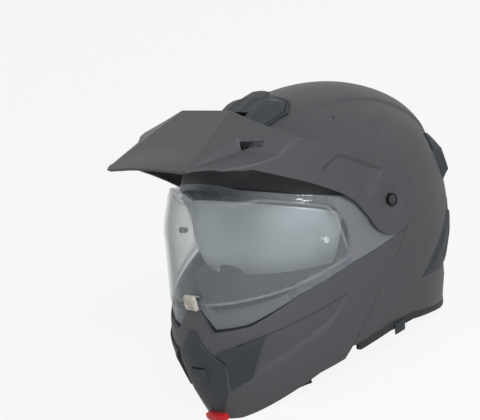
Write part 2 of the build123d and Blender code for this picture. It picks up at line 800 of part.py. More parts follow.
with BuildPart() as shield:
    add(layer(shield_form, 0, -shield_hub_wall, prism(side_plane, shield_outline, -reach, reach)))
    add(disc(arm_room_radius, -shield_hub_inner, shield_hub_inner), mode=Mode.SUBTRACT)
    for piece in (hub, lug):
        add(piece)
        add(mirror(piece, about=Plane.YZ, mode=Mode.PRIVATE))
    add(prism(front_plane, notch, 0, reach), mode=Mode.SUBTRACT)
    add(disc(bush_radius + bore_clearance, -reach, reach), mode=Mode.SUBTRACT)
    add(latch_bore, mode=Mode.SUBTRACT)
    for piece in (lens_pin, mirror(lens_pin, about=Plane.YZ, mode=Mode.PRIVATE)):
        add(piece, mode=Mode.SUBTRACT)
save("shield", shield.part)

with BuildPart() as antifog_lens:
    add(layer(
        shield_form, -shield_hub_wall - lens_gap, -shield_hub_wall - lens_gap - lens_wall,
        prism(side_plane, side_points(lens_shares), -reach, reach)))
    add(lens_hole, mode=Mode.SUBTRACT)
    add(mirror(lens_hole, about=Plane.YZ, mode=Mode.PRIVATE), mode=Mode.SUBTRACT)
save("antifog_lens", antifog_lens.part)

with BuildPart() as lens_pins:
    add(lens_pin)
    add(mirror(lens_pin, about=Plane.YZ, mode=Mode.PRIVATE))
save("lens_pins", lens_pins.part)

with BuildPart() as latch_pin:
    add(disc(latch_pin_radius, -lug_outer, lug_outer, -latch_pin_reach, latch_pin_up))
save("latch_pin", latch_pin.part)

with BuildPart() as shield_latch:
    add(layer(
        shield_form, latch_outer, latch_inner,
        span(-reach, 0, latch_low, latch_pin_up, -latch_half, latch_half)))
    add(disc(latch_boss_radius, -latch_half, latch_half, -latch_pin_reach, latch_pin_up))
    add(latch_bore, mode=Mode.SUBTRACT)
save("shield_latch", shield_latch.part)

# Peak: a folded sheet under three slanted planes, with two arms to the pivots
peak_slope = 0.253
facet_slope_across = 0.344
facet_slope_along = 0.158
peak_tip_along = -172
peak_tip_across = 61
peak_tip_up = 105
peak_low = -40
peak_drop = 3.4


def peak_block(width_ratio, drop):
    """Solid under the peak's three planes, lowered and narrowed for its hollow."""
    outline = [
        (across * width_ratio, along * width_ratio) for across, along in top_points(peak_shares)]
    origin_front = (0, pivot_setback + peak_tip_along, pivot_height + peak_tip_up - drop)
    with BuildPart() as block:
        add(prism(level(0), mirrored(outline), peak_low, reach))
        split(
            bisect_by=Plane(origin=origin_front, x_dir=(1, 0, 0), z_dir=(0, -peak_slope, 1)),
            keep=Keep.BOTTOM)
        for side in (-1, 1):
            origin = (
                side * peak_tip_across, pivot_setback + peak_tip_along,
                pivot_height + peak_tip_up - drop)
            split(
                bisect_by=Plane(
                    origin=origin, z_dir=(side * facet_slope_across, -facet_slope_along, 1)),
                keep=Keep.BOTTOM)
    return block.part


peak_side = side_points(peak_lower_shares) + side_points(peak_rear_shares)
peak_side += [(peak_side[-1][0], reach), (-reach, reach), (-reach, peak_side[0][1])]
scoop = prism(level(0), top_points(scoop_shares), 0, reach)
peak_hub = disc(peak_hub_radius, peak_arm_inner, peak_arm_outer)

with BuildPart() as peak:
    add(peak_block(1, 0))
    add(peak_block(peak_arm_inner / peak_arm_outer, peak_drop), mode=Mode.SUBTRACT)
    add(prism(side_plane, peak_side, -reach, reach), mode=Mode.INTERSECT)
    add(scoop, mode=Mode.SUBTRACT)
    add(mirror(scoop, about=Plane.YZ, mode=Mode.PRIVATE), mode=Mode.SUBTRACT)
    add(peak_hub)
    add(mirror(peak_hub, about=Plane.YZ, mode=Mode.PRIVATE))
    add(disc(bush_radius + bore_clearance, -reach, reach), mode=Mode.SUBTRACT)
save("peak", peak.part)

# Chin strap in two lengths, with rivets
strap_path = front_points(strap_shares)
strap_outline = strap_path + list(reversed(shifted(strap_path, -strap_wall, strap_wall)))
rivet_head = disc(
    rivet_head_radius, strap_rivet_inner, strap_rivet_inner + rivet_head_wall, 0, strap_rivet_up)

with BuildPart() as strap:
    add(prism(front_plane, strap_outline, -strap_rear, -strap_front))
    add(disc(rivet_radius + seat, 0, reach, 0, strap_rivet_up), mode=Mode.SUBTRACT)
save_pair("strap", strap.part)

with BuildPart() as strap_rivets:
    for piece in (strap_rivet, rivet_head):
        add(piece)
        add(mirror(piece, about=Plane.YZ, mode=Mode.PRIVATE))
save("strap_rivets", strap_rivets.part)

# Ratchet buckle: housing on the left strap, toothed strip on the right one, and a lever
buckle_inner = 2
buckle_outer = 32
buckle_low = -150
buckle_high = -142
buckle_edge = 2
strip_wall = 2
strip_low = -147
strip_outer = -32
strip_inner = 12
strip_gap = 0.3
tooth_pitch = 3
tooth_count = 8
tooth_depth = 0.8
buckle_pin_along = 29
buckle_pin_up = -139.4
buckle_pin_radius = 1.2
buckle_lever_inner = 6
buckle_lever_low = -141.7
buckle_lever_high = -139.7
buckle_boss_radius = 2.2
strip_high = strip_low + strip_wall
buckle_front = strap_front - buckle_edge
buckle_rear = strap_rear + buckle_edge
lug_length = buckle_edge + seat


def buckle_block(start, end, low, high, front, rear):
    """Block of the buckle between two places along X, two heights and two places along Y."""
    return span(front, rear, low, high, start, end)


def cross_pin(radius, front, rear):
    """Round pin along Y at the buckle lever's hinge."""
    with BuildPart() as pin:
        with BuildSketch(front_plane.offset(-rear)):
            with Locations((buckle_pin_along, buckle_pin_up)):
                Circle(radius)
        extrude(amount=rear - front)
    return pin.part


with BuildPart() as buckle_housing:
    add(buckle_block(buckle_inner, buckle_outer, buckle_low, buckle_high, buckle_front, buckle_rear))
    add(buckle_block(
        buckle_inner, strip_inner + strip_gap, strip_low - strip_gap, strip_high + strip_gap,
        strap_front - strip_gap, strap_rear + strip_gap), mode=Mode.SUBTRACT)
    for front, rear in ((buckle_front, buckle_front + lug_length), (buckle_rear - lug_length, buckle_rear)):
        add(buckle_block(
            buckle_pin_along - buckle_boss_radius, buckle_pin_along + buckle_boss_radius,
            buckle_high, buckle_pin_up + buckle_boss_radius, front, rear))
    add(cross_pin(buckle_pin_radius, buckle_front, buckle_rear), mode=Mode.SUBTRACT)
save("buckle_housing", buckle_housing.part)

with BuildPart() as buckle_strip:
    add(buckle_block(strip_outer, strip_inner, strip_low, strip_high, strap_front, strap_rear))
    for count in range(tooth_count):
        tooth = strip_outer + (count + 1) * tooth_pitch
        add(buckle_block(
            tooth, tooth + 0.5 * tooth_pitch, strip_low, strip_low + tooth_depth,
            strap_front, strap_rear), mode=Mode.SUBTRACT)
save("buckle_strip", buckle_strip.part)

with BuildPart() as buckle_pin:
    add(cross_pin(buckle_pin_radius, buckle_front, buckle_rear))
save("buckle_pin", buckle_pin.part)

lever_front = buckle_front + lug_length + strip_gap
lever_rear = buckle_rear - lug_length - strip_gap
with BuildPart() as buckle_lever:
    add(buckle_block(
        buckle_lever_inner, buckle_pin_along, buckle_lever_low, buckle_lever_high,
        lever_front, lever_rear))
    add(cross_pin(buckle_boss_radius, lever_front, lever_rear))
    add(cross_pin(buckle_pin_radius + pin_clearance, lever_front, lever_rear), mode=Mode.SUBTRACT)
save("buckle_lever", buckle_lever.part)
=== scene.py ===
import math

import bmesh
import bpy
from mathutils import Matrix, Vector


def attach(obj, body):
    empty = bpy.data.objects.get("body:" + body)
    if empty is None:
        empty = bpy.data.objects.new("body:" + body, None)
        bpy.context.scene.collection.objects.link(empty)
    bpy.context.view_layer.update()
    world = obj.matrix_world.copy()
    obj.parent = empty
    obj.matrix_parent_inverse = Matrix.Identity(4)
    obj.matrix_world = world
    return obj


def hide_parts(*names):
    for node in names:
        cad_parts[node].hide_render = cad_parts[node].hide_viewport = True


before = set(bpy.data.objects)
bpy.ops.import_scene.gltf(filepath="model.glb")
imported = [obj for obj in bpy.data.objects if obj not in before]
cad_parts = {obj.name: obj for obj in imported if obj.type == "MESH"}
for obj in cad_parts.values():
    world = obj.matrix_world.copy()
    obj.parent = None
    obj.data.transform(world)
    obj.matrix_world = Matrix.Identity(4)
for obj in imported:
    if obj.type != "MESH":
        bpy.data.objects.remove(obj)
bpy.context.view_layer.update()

scene = bpy.context.scene
scene.view_settings.view_transform = "Standard"

# Studio. A white floor that keeps a soft shadow, broad soft lamps and a long lens.
# The lens stands where the photograph was taken, in front of the helmet's left side.
pivot = Vector((0, 0.01595, 0.157))
camera_data = bpy.data.cameras.new("long_lens")
camera_data.sensor_width = 36
camera_data.lens = 160.11
camera_data.clip_end = 50
camera = bpy.data.objects.new("long_lens", camera_data)
camera_right = Vector((0.649448, 0.700475, -0.295892))
camera_up = Vector((-0.03582, 0.416874, 0.908258))
camera_back = camera_right.cross(camera_up).normalized()
camera_place = pivot + Vector((1.594455, -1.296654, 0.641597))
camera.matrix_world = Matrix.Translation(camera_place) @ Matrix(
    (camera_right, camera_up, camera_back)).transposed().to_4x4()
scene.collection.objects.link(camera)
scene.camera = camera


class Port:
    """An output socket that can be used in sums."""

    def __init__(self, tree, socket):
        self.tree = tree
        self.socket = socket

    def math(self, operation, first, second):
        node = self.tree.nodes.new("ShaderNodeMath")
        node.operation = operation
        for slot, value in zip(node.inputs, (first, second)):
            if isinstance(value, Port):
                self.tree.links.new(value.socket, slot)
            else:
                slot.default_value = value
        return Port(self.tree, node.outputs[0])

    def __add__(self, other):
        return self.math("ADD", self, other)

    def __mul__(self, other):
        return self.math("MULTIPLY", self, other)

    def __pow__(self, other):
        return self.math("POWER", self, other)

    __radd__ = __add__
    __rmul__ = __mul__


class Graph:
    """The node tree of a material or of the air round the helmet."""

    def __init__(self, owner, kind):
        owner.use_nodes = True
        self.tree = owner.node_tree
        self.tree.nodes.clear()
        self.output = self.tree.nodes.new("ShaderNodeOutput" + kind)

    def node(self, kind, settings=None, out=0, **values):
        """A node with its settings made first, then its values and links, by socket name."""
        made = self.tree.nodes.new("ShaderNode" + kind)
        for key, value in (settings or {}).items():
            if key == "stops":
                ramp = made.color_ramp
                for index, (place, colour) in enumerate(value):
                    if index < len(ramp.elements):
                        stop = ramp.elements[index]
                    else:
                        stop = ramp.elements.new(place)
                    stop.position = place
                    stop.color = colour
            else:
                setattr(made, key, value)
        for key, value in values.items():
            key = key.replace("_", " ")
            names = [slot for slot in made.inputs if slot.name == key and slot.enabled]
            slot = names[0] if names else made.inputs[int(key.split()[-1])]
            if isinstance(value, Port):
                self.tree.links.new(value.socket, slot)
            else:
                slot.default_value = value
        return Port(self.tree, made.outputs[out])

    def send(self, shader):
        """Send a shader to the output."""
        self.tree.links.new(shader.socket, self.output.inputs["Surface"])


class Finish(Graph):
    """A node material, with the patterns that its colour, gloss and relief are made of."""

    def __init__(self, name):
        self.material = bpy.data.materials.new(name)
        super().__init__(self.material, "Material")

    def place(self):
        """Coordinates that stay with the piece."""
        return self.node("TexCoord", out="Object")

    def speckle(self, scale, detail=2.0, rough=0.5, where=None):
        """Fine noise from 0 to 1."""
        return self.node(
            "TexNoise", {"noise_dimensions": "3D"}, Vector=where or self.place(), Scale=scale,
            Detail=detail, Roughness=rough)

    def bands(self, direction, where, scale, **values):
        """Soft bands that follow each other along a direction."""
        return self.node(
            "TexWave", {"wave_type": "BANDS", "bands_direction": direction}, out="Color", Vector=where,
            Scale=scale, **values)

    def blend(self, share, low, high):
        """Colour between two, by a share."""
        return self.node(
            "Mix", {"data_type": "RGBA"}, out="Result", Factor=share, A=(*low, 1), B=(*high, 1))

    def ramp(self, share, *stops):
        """Numbers or colours along a share."""
        return self.node("ValToRGB", {"stops": stops}, Fac=share)

    def bump(self, height, strength, depth):
        return self.node("Bump", Strength=strength, Distance=depth, Height=height)

    def surface(self, **values):
        """The material, with one principled shader."""
        self.send(self.node("BsdfPrincipled", **values))
        return self.material


def tone(red, green, blue):
    """Linear colour from screen values of 0 to 255."""
    parts = [value / 255 for value in (red, green, blue)]
    return tuple(
        part / 12.92 if part <= 0.04045 else ((part + 0.055) / 1.055) ** 2.4 for part in parts)


floor_mesh = bmesh.new()
bmesh.ops.create_grid(floor_mesh, x_segments=2, y_segments=2, size=7)
floor_data = bpy.data.meshes.new("studio_floor")
floor_mesh.to_mesh(floor_data)
floor_mesh.free()
floor = bpy.data.objects.new("studio_floor", floor_data)
scene.collection.objects.link(floor)
white = Finish("studio_white")
light_path = white.node("LightPath", out="Is Camera Ray")
glossy_path = white.node("LightPath", out="Is Glossy Ray")
pure = white.node("Emission", Color=(1, 1, 1, 1), Strength=1.0)
paper = white.node("BsdfDiffuse", Color=(0.8, 0.8, 0.8, 1))
both = white.node("MixShader", Fac=light_path * 0.9 + glossy_path * 0.6, _1=paper, _2=pure)
white.send(both)
floor_data.materials.append(white.material)

scene.world = bpy.data.worlds.new("studio_air")
air = Graph(scene.world, "World")
air_seen = air.node("LightPath", out="Is Camera Ray") + air.node("LightPath", out="Is Glossy Ray")
air_soft = air.node("Background", Color=(1, 1, 1, 1), Strength=0.13)
air_white = air.node("Background", Color=(1, 1, 1, 1), Strength=1.0)
air.send(air.node("MixShader", Fac=air_seen, _1=air_soft, _2=air_white))

# Each lamp's name, place and width in metres, and watts.
for lamp_name, place, size, power in (
        ("key_lamp", (2.2, -0.8, 1.8), 0.8, 46), ("side_lamp", (2.6, -1.4, 0.2), 1.4, 7),
        ("front_lamp", (-0.6, -2.6, 0.7), 2.4, 9), ("back_lamp", (-0.8, 2.2, 1.9), 1.4, 1)):
    lamp_data = bpy.data.lights.new(lamp_name, "AREA")
    lamp_data.size = size
    lamp_data.energy = power
    lamp = bpy.data.objects.new(lamp_name, lamp_data)
    lamp.matrix_world = Matrix.Translation(place) @ (
        Vector(place) - pivot).to_track_quat("Z", "Y").to_matrix().to_4x4()
    lamp.visible_glossy = lamp_name == "key_lamp"
    scene.collection.objects.link(lamp)

# Outer shell. One moulded skin over crown and nape, in matte grey paint, with sunk side
# fields, a spine left standing along the crown, and sunk cups for the arms on the pivots.
# From here on lengths are in mm, about the pivot axis. Each row of a form holds a height,
# its width, and how far it reaches to the front and to the back, as shares.
half_width = 124.2
chin_reach = 188
brow_reach = 127
back_reach = 152
crown_rise = 110
pivot_height = 157
body_rows = (
    (-1.08, 0.71, 0.96, 0.7), (-0.815, 0.87, 0.997, 0.737), (-0.637, 0.93, 1.0, 0.835),
    (-0.484, 0.966, 0.995, 0.94), (-0.255, 0.997, 0.91, 1.007), (0.0, 1.0, 0.83, 1.0),
    (0.259, 0.966, 0.77, 0.966))
mm = 0.001
to_frame = Matrix.Translation(pivot) @ Matrix.Scale(mm, 4)
back_to_pivot = to_frame.inverted()
half_turn = math.pi
quarter = 0.5 * half_turn


def share_at(rows, height, column):
    """Smooth value of one column of the rows at a height share."""
    last = len(rows) - 2
    index = next((i for i in range(last) if height <= rows[i + 1][0]), last)
    before, low, high, after = (
        rows[max(index - 1, 0)], rows[index], rows[index + 1], rows[min(index + 2, last + 1)])
    step = high[0] - low[0]
    t = min(max((height - low[0]) / step, 0), 1)
    rise_low = step * (high[column] - before[column]) / (high[0] - before[0])
    rise_high = step * (after[column] - low[column]) / (after[0] - low[0])
    return (
        low[column] * (2 * t ** 3 - 3 * t ** 2 + 1) + rise_low * (t ** 3 - 2 * t ** 2 + t)
        + high[column] * (3 * t ** 2 - 2 * t ** 3) + rise_high * (t ** 3 - t ** 2))


def oval_point(rows, width, turn, height, grow):
    """Point on a form of ovals. A turn of zero is the front, half a turn the back."""
    share = height / ((crown_rise + grow) if height > 0 else pivot_height)
    wide = share_at(rows, share, 1)
    here = grow * wide
    if turn <= quarter:
        deep = -(chin_reach * share_at(rows, share, 2) + here)
    else:
        deep = back_reach * share_at(rows, share, 3) + here
    return Vector(((width * wide + here) * math.sin(turn), abs(math.cos(turn)) * deep, height))


def body_point(turn, height, grow=0.0):
    return oval_point(body_rows, half_width, turn, height, grow)


def crown_point(turn, lift, grow=0.0):
    """Point on the crown's half ellipsoid, at an angle of lift above the pivot."""
    reach = (brow_reach if turn <= quarter else back_reach) + grow
    return Vector((
        (half_width + grow) * math.cos(lift) * math.sin(turn),
        -reach * math.cos(lift) * math.cos(turn), (crown_rise + grow) * math.sin(lift)))


def crown_over(across, along, grow=0.0):
    """Point on the crown above a place in the top view."""
    reach = (brow_reach if along < 0 else back_reach) + grow
    rest = 1 - (across / (half_width + grow)) ** 2 - (along / reach) ** 2
    return Vector((across, along, (crown_rise + grow) * math.sqrt(max(rest, 0))))


def sheet(columns, rows, point):
    """Grid of faces bent onto a form: point takes two shares from 0 to 1."""
    bm = bmesh.new()
    bmesh.ops.create_grid(bm, x_segments=columns, y_segments=rows, size=0.5)
    for vert in bm.verts:
        vert.co = point(vert.co.x + 0.5, vert.co.y + 0.5)
    bmesh.ops.remove_doubles(bm, verts=bm.verts, dist=0.01)
    bm.normal_update()
    return bm


side_view = (Vector((0, 1, 0)), Vector((0, 0, 1)))
front_view = (Vector((1, 0, 0)), Vector((0, 0, 1)))
top_view = (Vector((1, 0, 0)), Vector((0, 1, 0)))
shoulder_view = (Vector((0, 1, 0)), Vector((-0.7071, 0, 0.7071)))


def seen(point, view):
    return (point.dot(view[0]), point.dot(view[1]))


def runs(outline, closed=True):
    ends = outline[1:] + outline[:1] if closed else outline[1:]
    return list(zip(outline, ends))


def slice_along(bm, outline, view, closed=True, where=None):
    """Cut faces along each run of an outline drawn in a view."""
    for (u0, v0), (u1, v1) in runs(outline, closed):
        low_u, high_u, low_v, high_v = min(u0, u1), max(u0, u1), min(v0, v1), max(v0, v1)
        faces = []
        for face in bm.faces:
            places = [seen(vert.co, view) for vert in face.verts]
            if (min(p[0] for p in places) <= high_u and max(p[0] for p in places) >= low_u
                    and min(p[1] for p in places) <= high_v
                    and max(p[1] for p in places) >= low_v
                    and (where is None or where(face.calc_center_median()))):
                faces.append(face)
        verts = list({vert for face in faces for vert in face.verts})
        edges = list({edge for face in faces for edge in face.edges})
        bmesh.ops.bisect_plane(
            bm, geom=verts + edges + faces, plane_co=view[0] * u0 + view[1] * v0,
            plane_no=view[0] * (v1 - v0) - view[1] * (u1 - u0), dist=0.005)


def score(bm, line, view, where=None):
    """Cut faces along each run of an open line."""
    slice_along(bm, line, view, False, where)


def holds(outline, place):
    """Whether a closed outline holds a place."""
    u, v = place
    found = False
    for (u0, v0), (u1, v1) in runs(outline):
        if (v0 > v) != (v1 > v) and u < u0 + (v - v0) * (u1 - u0) / (v1 - v0):
            found = not found
    return found


def gap_to(outline, place, closed=True):
    """Shortest way from a place to an outline."""
    spot = Vector(place)
    best = 1e9
    for start, end in runs(outline, closed):
        start = Vector(start)
        along = Vector(end) - start
        t = min(max((spot - start).dot(along) / max(along.length_squared, 1e-9), 0), 1)
        best = min(best, (spot - start - along * t).length)
    return best


def keep_faces(bm, wanted):
    gone = [face for face in bm.faces if not wanted(face.calc_center_median())]
    bmesh.ops.delete(bm, geom=gone, context="FACES")


def cut_out(bm, outline, view, inside=True, where=None):
    """Cut faces along a closed outline, and keep those inside it, or else those outside."""
    slice_along(bm, outline, view, where=where)
    keep_faces(bm, lambda c: (where and not where(c)) or holds(outline, seen(c, view)) == inside)


def push(bm, rise):
    """Move each vertex along its normal by what rise gives for its place."""
    for vert in bm.verts:
        amount = rise(vert.co)
        if amount:
            vert.co += vert.normal * amount


def inset_outline(outline, distance):
    """A closed outline drawn in by a distance."""
    area = sum(u0 * v1 - u1 * v0 for (u0, v0), (u1, v1) in runs(outline))
    sign = 1 if area > 0 else -1
    moved = []
    count = len(outline)
    for index in range(count):
        before, here, after = (
            Vector(outline[index - 1]), Vector(outline[index]), Vector(outline[(index + 1) % count]))
        one = (here - before).normalized()
        two = (after - here).normalized()
        inward = Vector((-one.y - two.y, one.x + two.x)) * sign
        stretch = max(inward.length_squared, 0.3)
        moved.append(tuple(here + inward * (2 * distance / stretch)))
    return moved


def rounded(outline, rounds=2, closed=True):
    """An outline with its corners cut back again and again."""
    for _ in range(rounds):
        fresh = [] if closed else [outline[0]]
        for (u0, v0), (u1, v1) in runs(outline, closed):
            fresh.append((0.75 * u0 + 0.25 * u1, 0.75 * v0 + 0.25 * v1))
            fresh.append((0.25 * u0 + 0.75 * u1, 0.25 * v0 + 0.75 * v1))
        if not closed:
            fresh.append(outline[-1])
        outline = fresh
    return outline


def side_places(shares):
    return [(chin_reach * along, pivot_height * rise) for along, rise in shares]


def front_places(shares):
    return [(half_width * across, pivot_height * rise) for across, rise in shares]


def top_places(shares):
    return [(half_width * across, chin_reach * along) for across, along in shares]


def field_share(outer, inner, place):
    """0 outside an outer outline, 1 inside an inner one, and in step between them."""
    if not holds(outer, place):
        return 0
    if holds(inner, place):
        return 1
    away = gap_to(outer, place)
    return away / max(away + gap_to(inner, place), 1e-6)


def raise_field(bm, outer, inner, view, height, where=None, fade=None):
    """Raise what an outline holds by a height, over the slope between two outlines."""
    slice_along(bm, outer, view, where=where)
    slice_along(bm, inner, view, where=where)
    bmesh.ops.remove_doubles(bm, verts=bm.verts, dist=0.06)
    bm.normal_update()

    def rise(co):
        if where and not where(co):
            return 0
        return height * field_share(outer, inner, seen(co, view)) * (fade(co) if fade else 1)

    push(bm, rise)
    bm.normal_update()


def mirrored_half(bm):
    """Add the right half, and close the middle."""
    for vert in bm.verts:
        if abs(vert.co.x) < 0.02:
            vert.co.x = 0
    bmesh.ops.mirror(
        bm, geom=bm.verts[:] + bm.edges[:] + bm.faces[:], axis="X", merge_dist=0.005)
    bmesh.ops.remove_doubles(bm, verts=bm.verts, dist=0.05)
    bmesh.ops.dissolve_degenerate(bm, dist=0.05, edges=bm.edges)
    bmesh.ops.recalc_face_normals(bm, faces=bm.faces)


def right_twin(bm):
    """Turn a left piece into its right twin."""
    bmesh.ops.scale(bm, vec=(-1, 1, 1), verts=bm.verts)
    bmesh.ops.reverse_faces(bm, faces=bm.faces)


def finish_piece(name, bm, look, body, nodes=(), wall=0.0, edge=0.5, crease=32):
    """Give a skin its wall and rounded edges, and set it in the frame. A look is a finish
    and its slot; the slot is not used."""
    material, slot = look
    bmesh.ops.transform(bm, matrix=to_frame, verts=bm.verts)
    mesh = bpy.data.meshes.new(name)
    bm.to_mesh(mesh)
    bm.free()
    piece = bpy.data.objects.new(name, mesh)
    scene.collection.objects.link(piece)
    if wall:
        thick = piece.modifiers.new("wall", "SOLIDIFY")
        thick.thickness = wall * mm
        thick.offset = -1
        thick.use_quality_normals = True
    if edge:
        soft = piece.modifiers.new("edge", "BEVEL")
        soft.width = edge * mm
        soft.segments = 2
        soft.limit_method = "ANGLE"
        soft.angle_limit = math.radians(50)
        soft.use_clamp_overlap = True
    if wall or edge:
        settled = bpy.data.meshes.new_from_object(
            piece.evaluated_get(bpy.context.evaluated_depsgraph_get()))
        piece.modifiers.clear()
        piece.data = settled
    piece.data.name = name
    piece.data.polygons.foreach_set("use_smooth", [True] * len(piece.data.polygons))
    piece.data.set_sharp_from_angle(angle=math.radians(crease))
    piece.data.materials.clear()
    piece.data.materials.append(material)
    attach(piece, body)
    if nodes:
        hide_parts(*nodes)
    return piece


def share_out(piece, materials, pick):
    """Give a piece more finishes, and each face the one that pick gives for its middle."""
    for material in materials:
        piece.data.materials.append(material)
    for polygon in piece.data.polygons:
        polygon.material_index = pick(back_to_pivot @ polygon.center)


def paint_finish(name, colour, rough):
    """Matte paint: fine grain in colour and gloss, and a faint ripple."""
    paint = Finish(name)
    fine = paint.speckle(2600, 3.0)
    broad = paint.speckle(9, 3.0)
    low = tuple(0.93 * part for part in colour)
    high = tuple(1.07 * part for part in colour)
    return paint.surface(
        Base_Color=paint.blend(fine * 0.5 + broad * 0.5, low, high),
        Roughness=rough + 0.06 * fine + 0.05 * broad, Specular_IOR_Level=0.3,
        Normal=paint.bump(fine, 0.12, 0.0002))


shell_look = paint_finish("matte_grey_paint", tone(86, 87, 90), 0.46), "shell_grey"

seam = side_places((
    (0.074, -0.217), (-0.078, -0.389), (-0.207, -0.513), (-0.447, -0.825), (-0.564, -0.981)))
floor_line = side_places((
    (-1.05, -1), (-0.915, -1), (-0.601, -0.873), (-0.372, -0.828), (-0.176, -0.812), (0, -0.831),
    (0.176, -0.892), (0.351, -0.962), (0.511, -1), (1.0, -1)))
brow = side_places((
    (-0.76, 0.369), (-0.574, 0.369), (-0.457, 0.293), (-0.319, 0.178), (-0.213, 0.057), (-0.144, 0)))
far = 260
trim_height = 8
cup_radius = 37.6
pocket_radius = 34.2
pocket_floor = 118.3


def arc(radius, start, end, count, centre=(0, 0)):
    """Points round a centre, between two angles in degrees."""
    return [(
        centre[0] + radius * math.cos(math.radians(start + (end - start) * i / count)),
        centre[1] + radius * math.sin(math.radians(start + (end - start) * i / count)))
        for i in range(count + 1)]


def eased(share):
    share = min(max(share, 0), 1)
    return share * share * (3 - 2 * share)


waist_share = 0.42


def shell_surface(turn_share, lift_share):
    turn = half_turn * turn_share
    if lift_share > waist_share:
        return crown_point(turn, quarter * (lift_share - waist_share) / 0.58)
    return body_point(turn, -pivot_height * (waist_share - lift_share) / waist_share)


shell = sheet(100, 96, shell_surface)
shell_edge = brow + [(0, 0)] + seam + [
    (seam[-1][0], -far), (far, -far), (far, far), (-far, far), (-far, brow[0][1])]
cup = arc(cup_radius, 0, 360, 40)[:-1]
pocket = arc(pocket_radius, 0, 360, 40)[:-1]
trim_line = [(u, v + trim_height) for u, v in floor_line]
score(shell, brow, side_view)
score(shell, [(0, 0)] + seam, side_view)
slice_along(shell, cup, side_view)
score(shell, trim_line[3:], side_view)
floor_area = [(-far, -far), (-far, trim_line[0][1])] + trim_line + [
    (far, trim_line[-1][1]), (far, -far)]
keep_faces(shell, lambda c: (
    not holds(floor_area, seen(c, side_view))
    and (holds(shell_edge, seen(c, side_view)) or math.hypot(c.y, c.z) < cup_radius)))
push(shell, lambda c: (
    -2.2 * eased((c.z - 30) / 60) * eased((c.y + 60) / 90) if c.z > 30 else 0))

side_field = [(-24, -57), (-38, -30), (-41, 17), (-21, 15.5), (-6.2, 11.8), (7.1, 3.5), (28.4, -12.6),
              (48.7, -25.5), (31.7, -35), (6.3, -46)]
raise_field(
    shell, rounded(side_field, 2), rounded(inset_outline(side_field, 3.2), 2), shoulder_view, -1.6,
    lambda c: c.z > 4 and c.x > 40, lambda c: eased((c.y + 48) / 40))

spine_line = [
    (51.6, -13.2), (56.8, 12.9), (60.5, 41.8), (64, 71), (67.4, 88.5), (71.2, 103.7), (74.3, 120)]
spine = rounded([(40, -60)] + spine_line + [(-u, v) for u, v in reversed(spine_line)] + [(-40, -60)], 1)


def above_pivots(c):
    return c.z > 4


def beside_spine(co):
    """The crown sinks beside the spine, and comes back to its form further out."""
    place = seen(co, top_view)
    if not above_pivots(co) or holds(spine, place):
        return 0
    away = gap_to(spine, place)
    share = min(away / 4, 1) * (1 - eased((away - 4) / 30)) * eased((co.y + 25) / 40)
    return -1.7 * share


slice_along(shell, spine, top_view, where=above_pivots)
slice_along(shell, inset_outline(spine, -4), top_view, where=above_pivots)
shell.normal_update()
push(shell, beside_spine)

ridge = [(83, -33), (51.4, -38.6), (20, -50), (-14.8, -61), (-40, -69)]
ridge_foot = [(83, -36), (51.4, -41.8), (20, -53.2), (-14.8, -63.6), (-40, -71)]
below_ridge = ridge + [(-40, -far), (far, -far), (far, -33)]


def low_side(c):
    return c.z < 0 and c.x > 30


def under_ridge(co):
    """The side sinks under the ridge, and comes back to its form lower down."""
    place = seen(co, side_view)
    if not low_side(co) or not holds(below_ridge, place):
        return 0
    away = gap_to(ridge, place, closed=False)
    share = min(away / 3, 1) * (1 - eased((away - 3) / 26)) * eased((co.y + 45) / 55)
    return -1.4 * share


for line in (ridge, ridge_foot):
    score(shell, line, side_view, where=low_side)
shell.normal_update()
push(shell, under_ridge)

collar = [(-8, -97), (19, -94.5), (62, -107), (112, -113), (170, -113), (170, -170), (-8, -170)]
collar_inner = [
    (-2, -108), (19, -106), (60, -118), (110, -124), (170, -124), (170, -170), (-2, -170)]
raise_field(shell, collar, collar_inner, side_view, 2.0, lambda c: c.z < -60,
            lambda c: eased((c.y + 8) / 40))

near_cup = lambda c: c.x > 90 and math.hypot(c.y, c.z) < 60
slice_along(shell, pocket, side_view, where=near_cup)
slice_along(shell, inset_outline(pocket, 0.4), side_view, where=near_cup)
for vert in shell.verts:
    if near_cup(vert.co) and math.hypot(vert.co.y, vert.co.z) < pocket_radius - 0.3:
        vert.co.x = pocket_floor
mirrored_half(shell)
finish_piece("shell_skin", shell, shell_look, "helmet", ["outer_shell"], wall=2.4, edge=0, crease=20)

# Chin bar. The jaw guard turns up on two flat arms; it is moulded and painted as the
# shell is, with a long sunk band on either side behind the vents.
shield_gap = 0.9
seam_gap = 0.7
chin_wall = 6
chin_arm_inner = 118.9
chin_arm_outer = 121.3
shield_lower = side_places((
    (0.059, -0.22), (-0.335, -0.252), (-0.612, -0.309), (-0.84, -0.401), (-1.1, -0.401)))
notch = front_places(((0.073, -0.274), (0.218, -0.408), (0.218, -0.6)))


chin_end = 0.56 * half_turn
chin_height = 132


def chin_surface(turn_share, rise_share):
    return body_point(chin_end * turn_share, -pivot_height + chin_height * rise_share)


chin = sheet(90, 44, chin_surface)
chin_top = [(u, v - shield_gap) for u, v in shield_lower]
nose = [(u - shield_gap, v - shield_gap) for u, v in notch]
chin_seam = [(u - seam_gap, v) for u, v in seam]
chin_floor = [(-197, -157), (-176, -157), (-158, -150.5), (-113, -134.5)] + floor_line[3:]
score(chin, chin_top, side_view, where=lambda c: c.x > nose[1][0] - 8)
score(chin, chin_seam, side_view)
score(chin, chin_floor[:5], side_view)
score(chin, nose, front_view, where=lambda c: c.y < 0)
below_top = chin_top + [(-far, chin_top[-1][1]), (-far, -far), (far, -far), (far, chin_top[0][1])]
ahead = [(-far, 0), (chin_seam[0][0], 0)] + chin_seam + [(chin_seam[-1][0], -far), (-far, -far)]
nose_area = [(0, nose[0][1])] + nose + [(0, nose[-1][1])]
under = [(-far, -far), (-far, chin_floor[0][1])] + chin_floor + [(far, -far)]


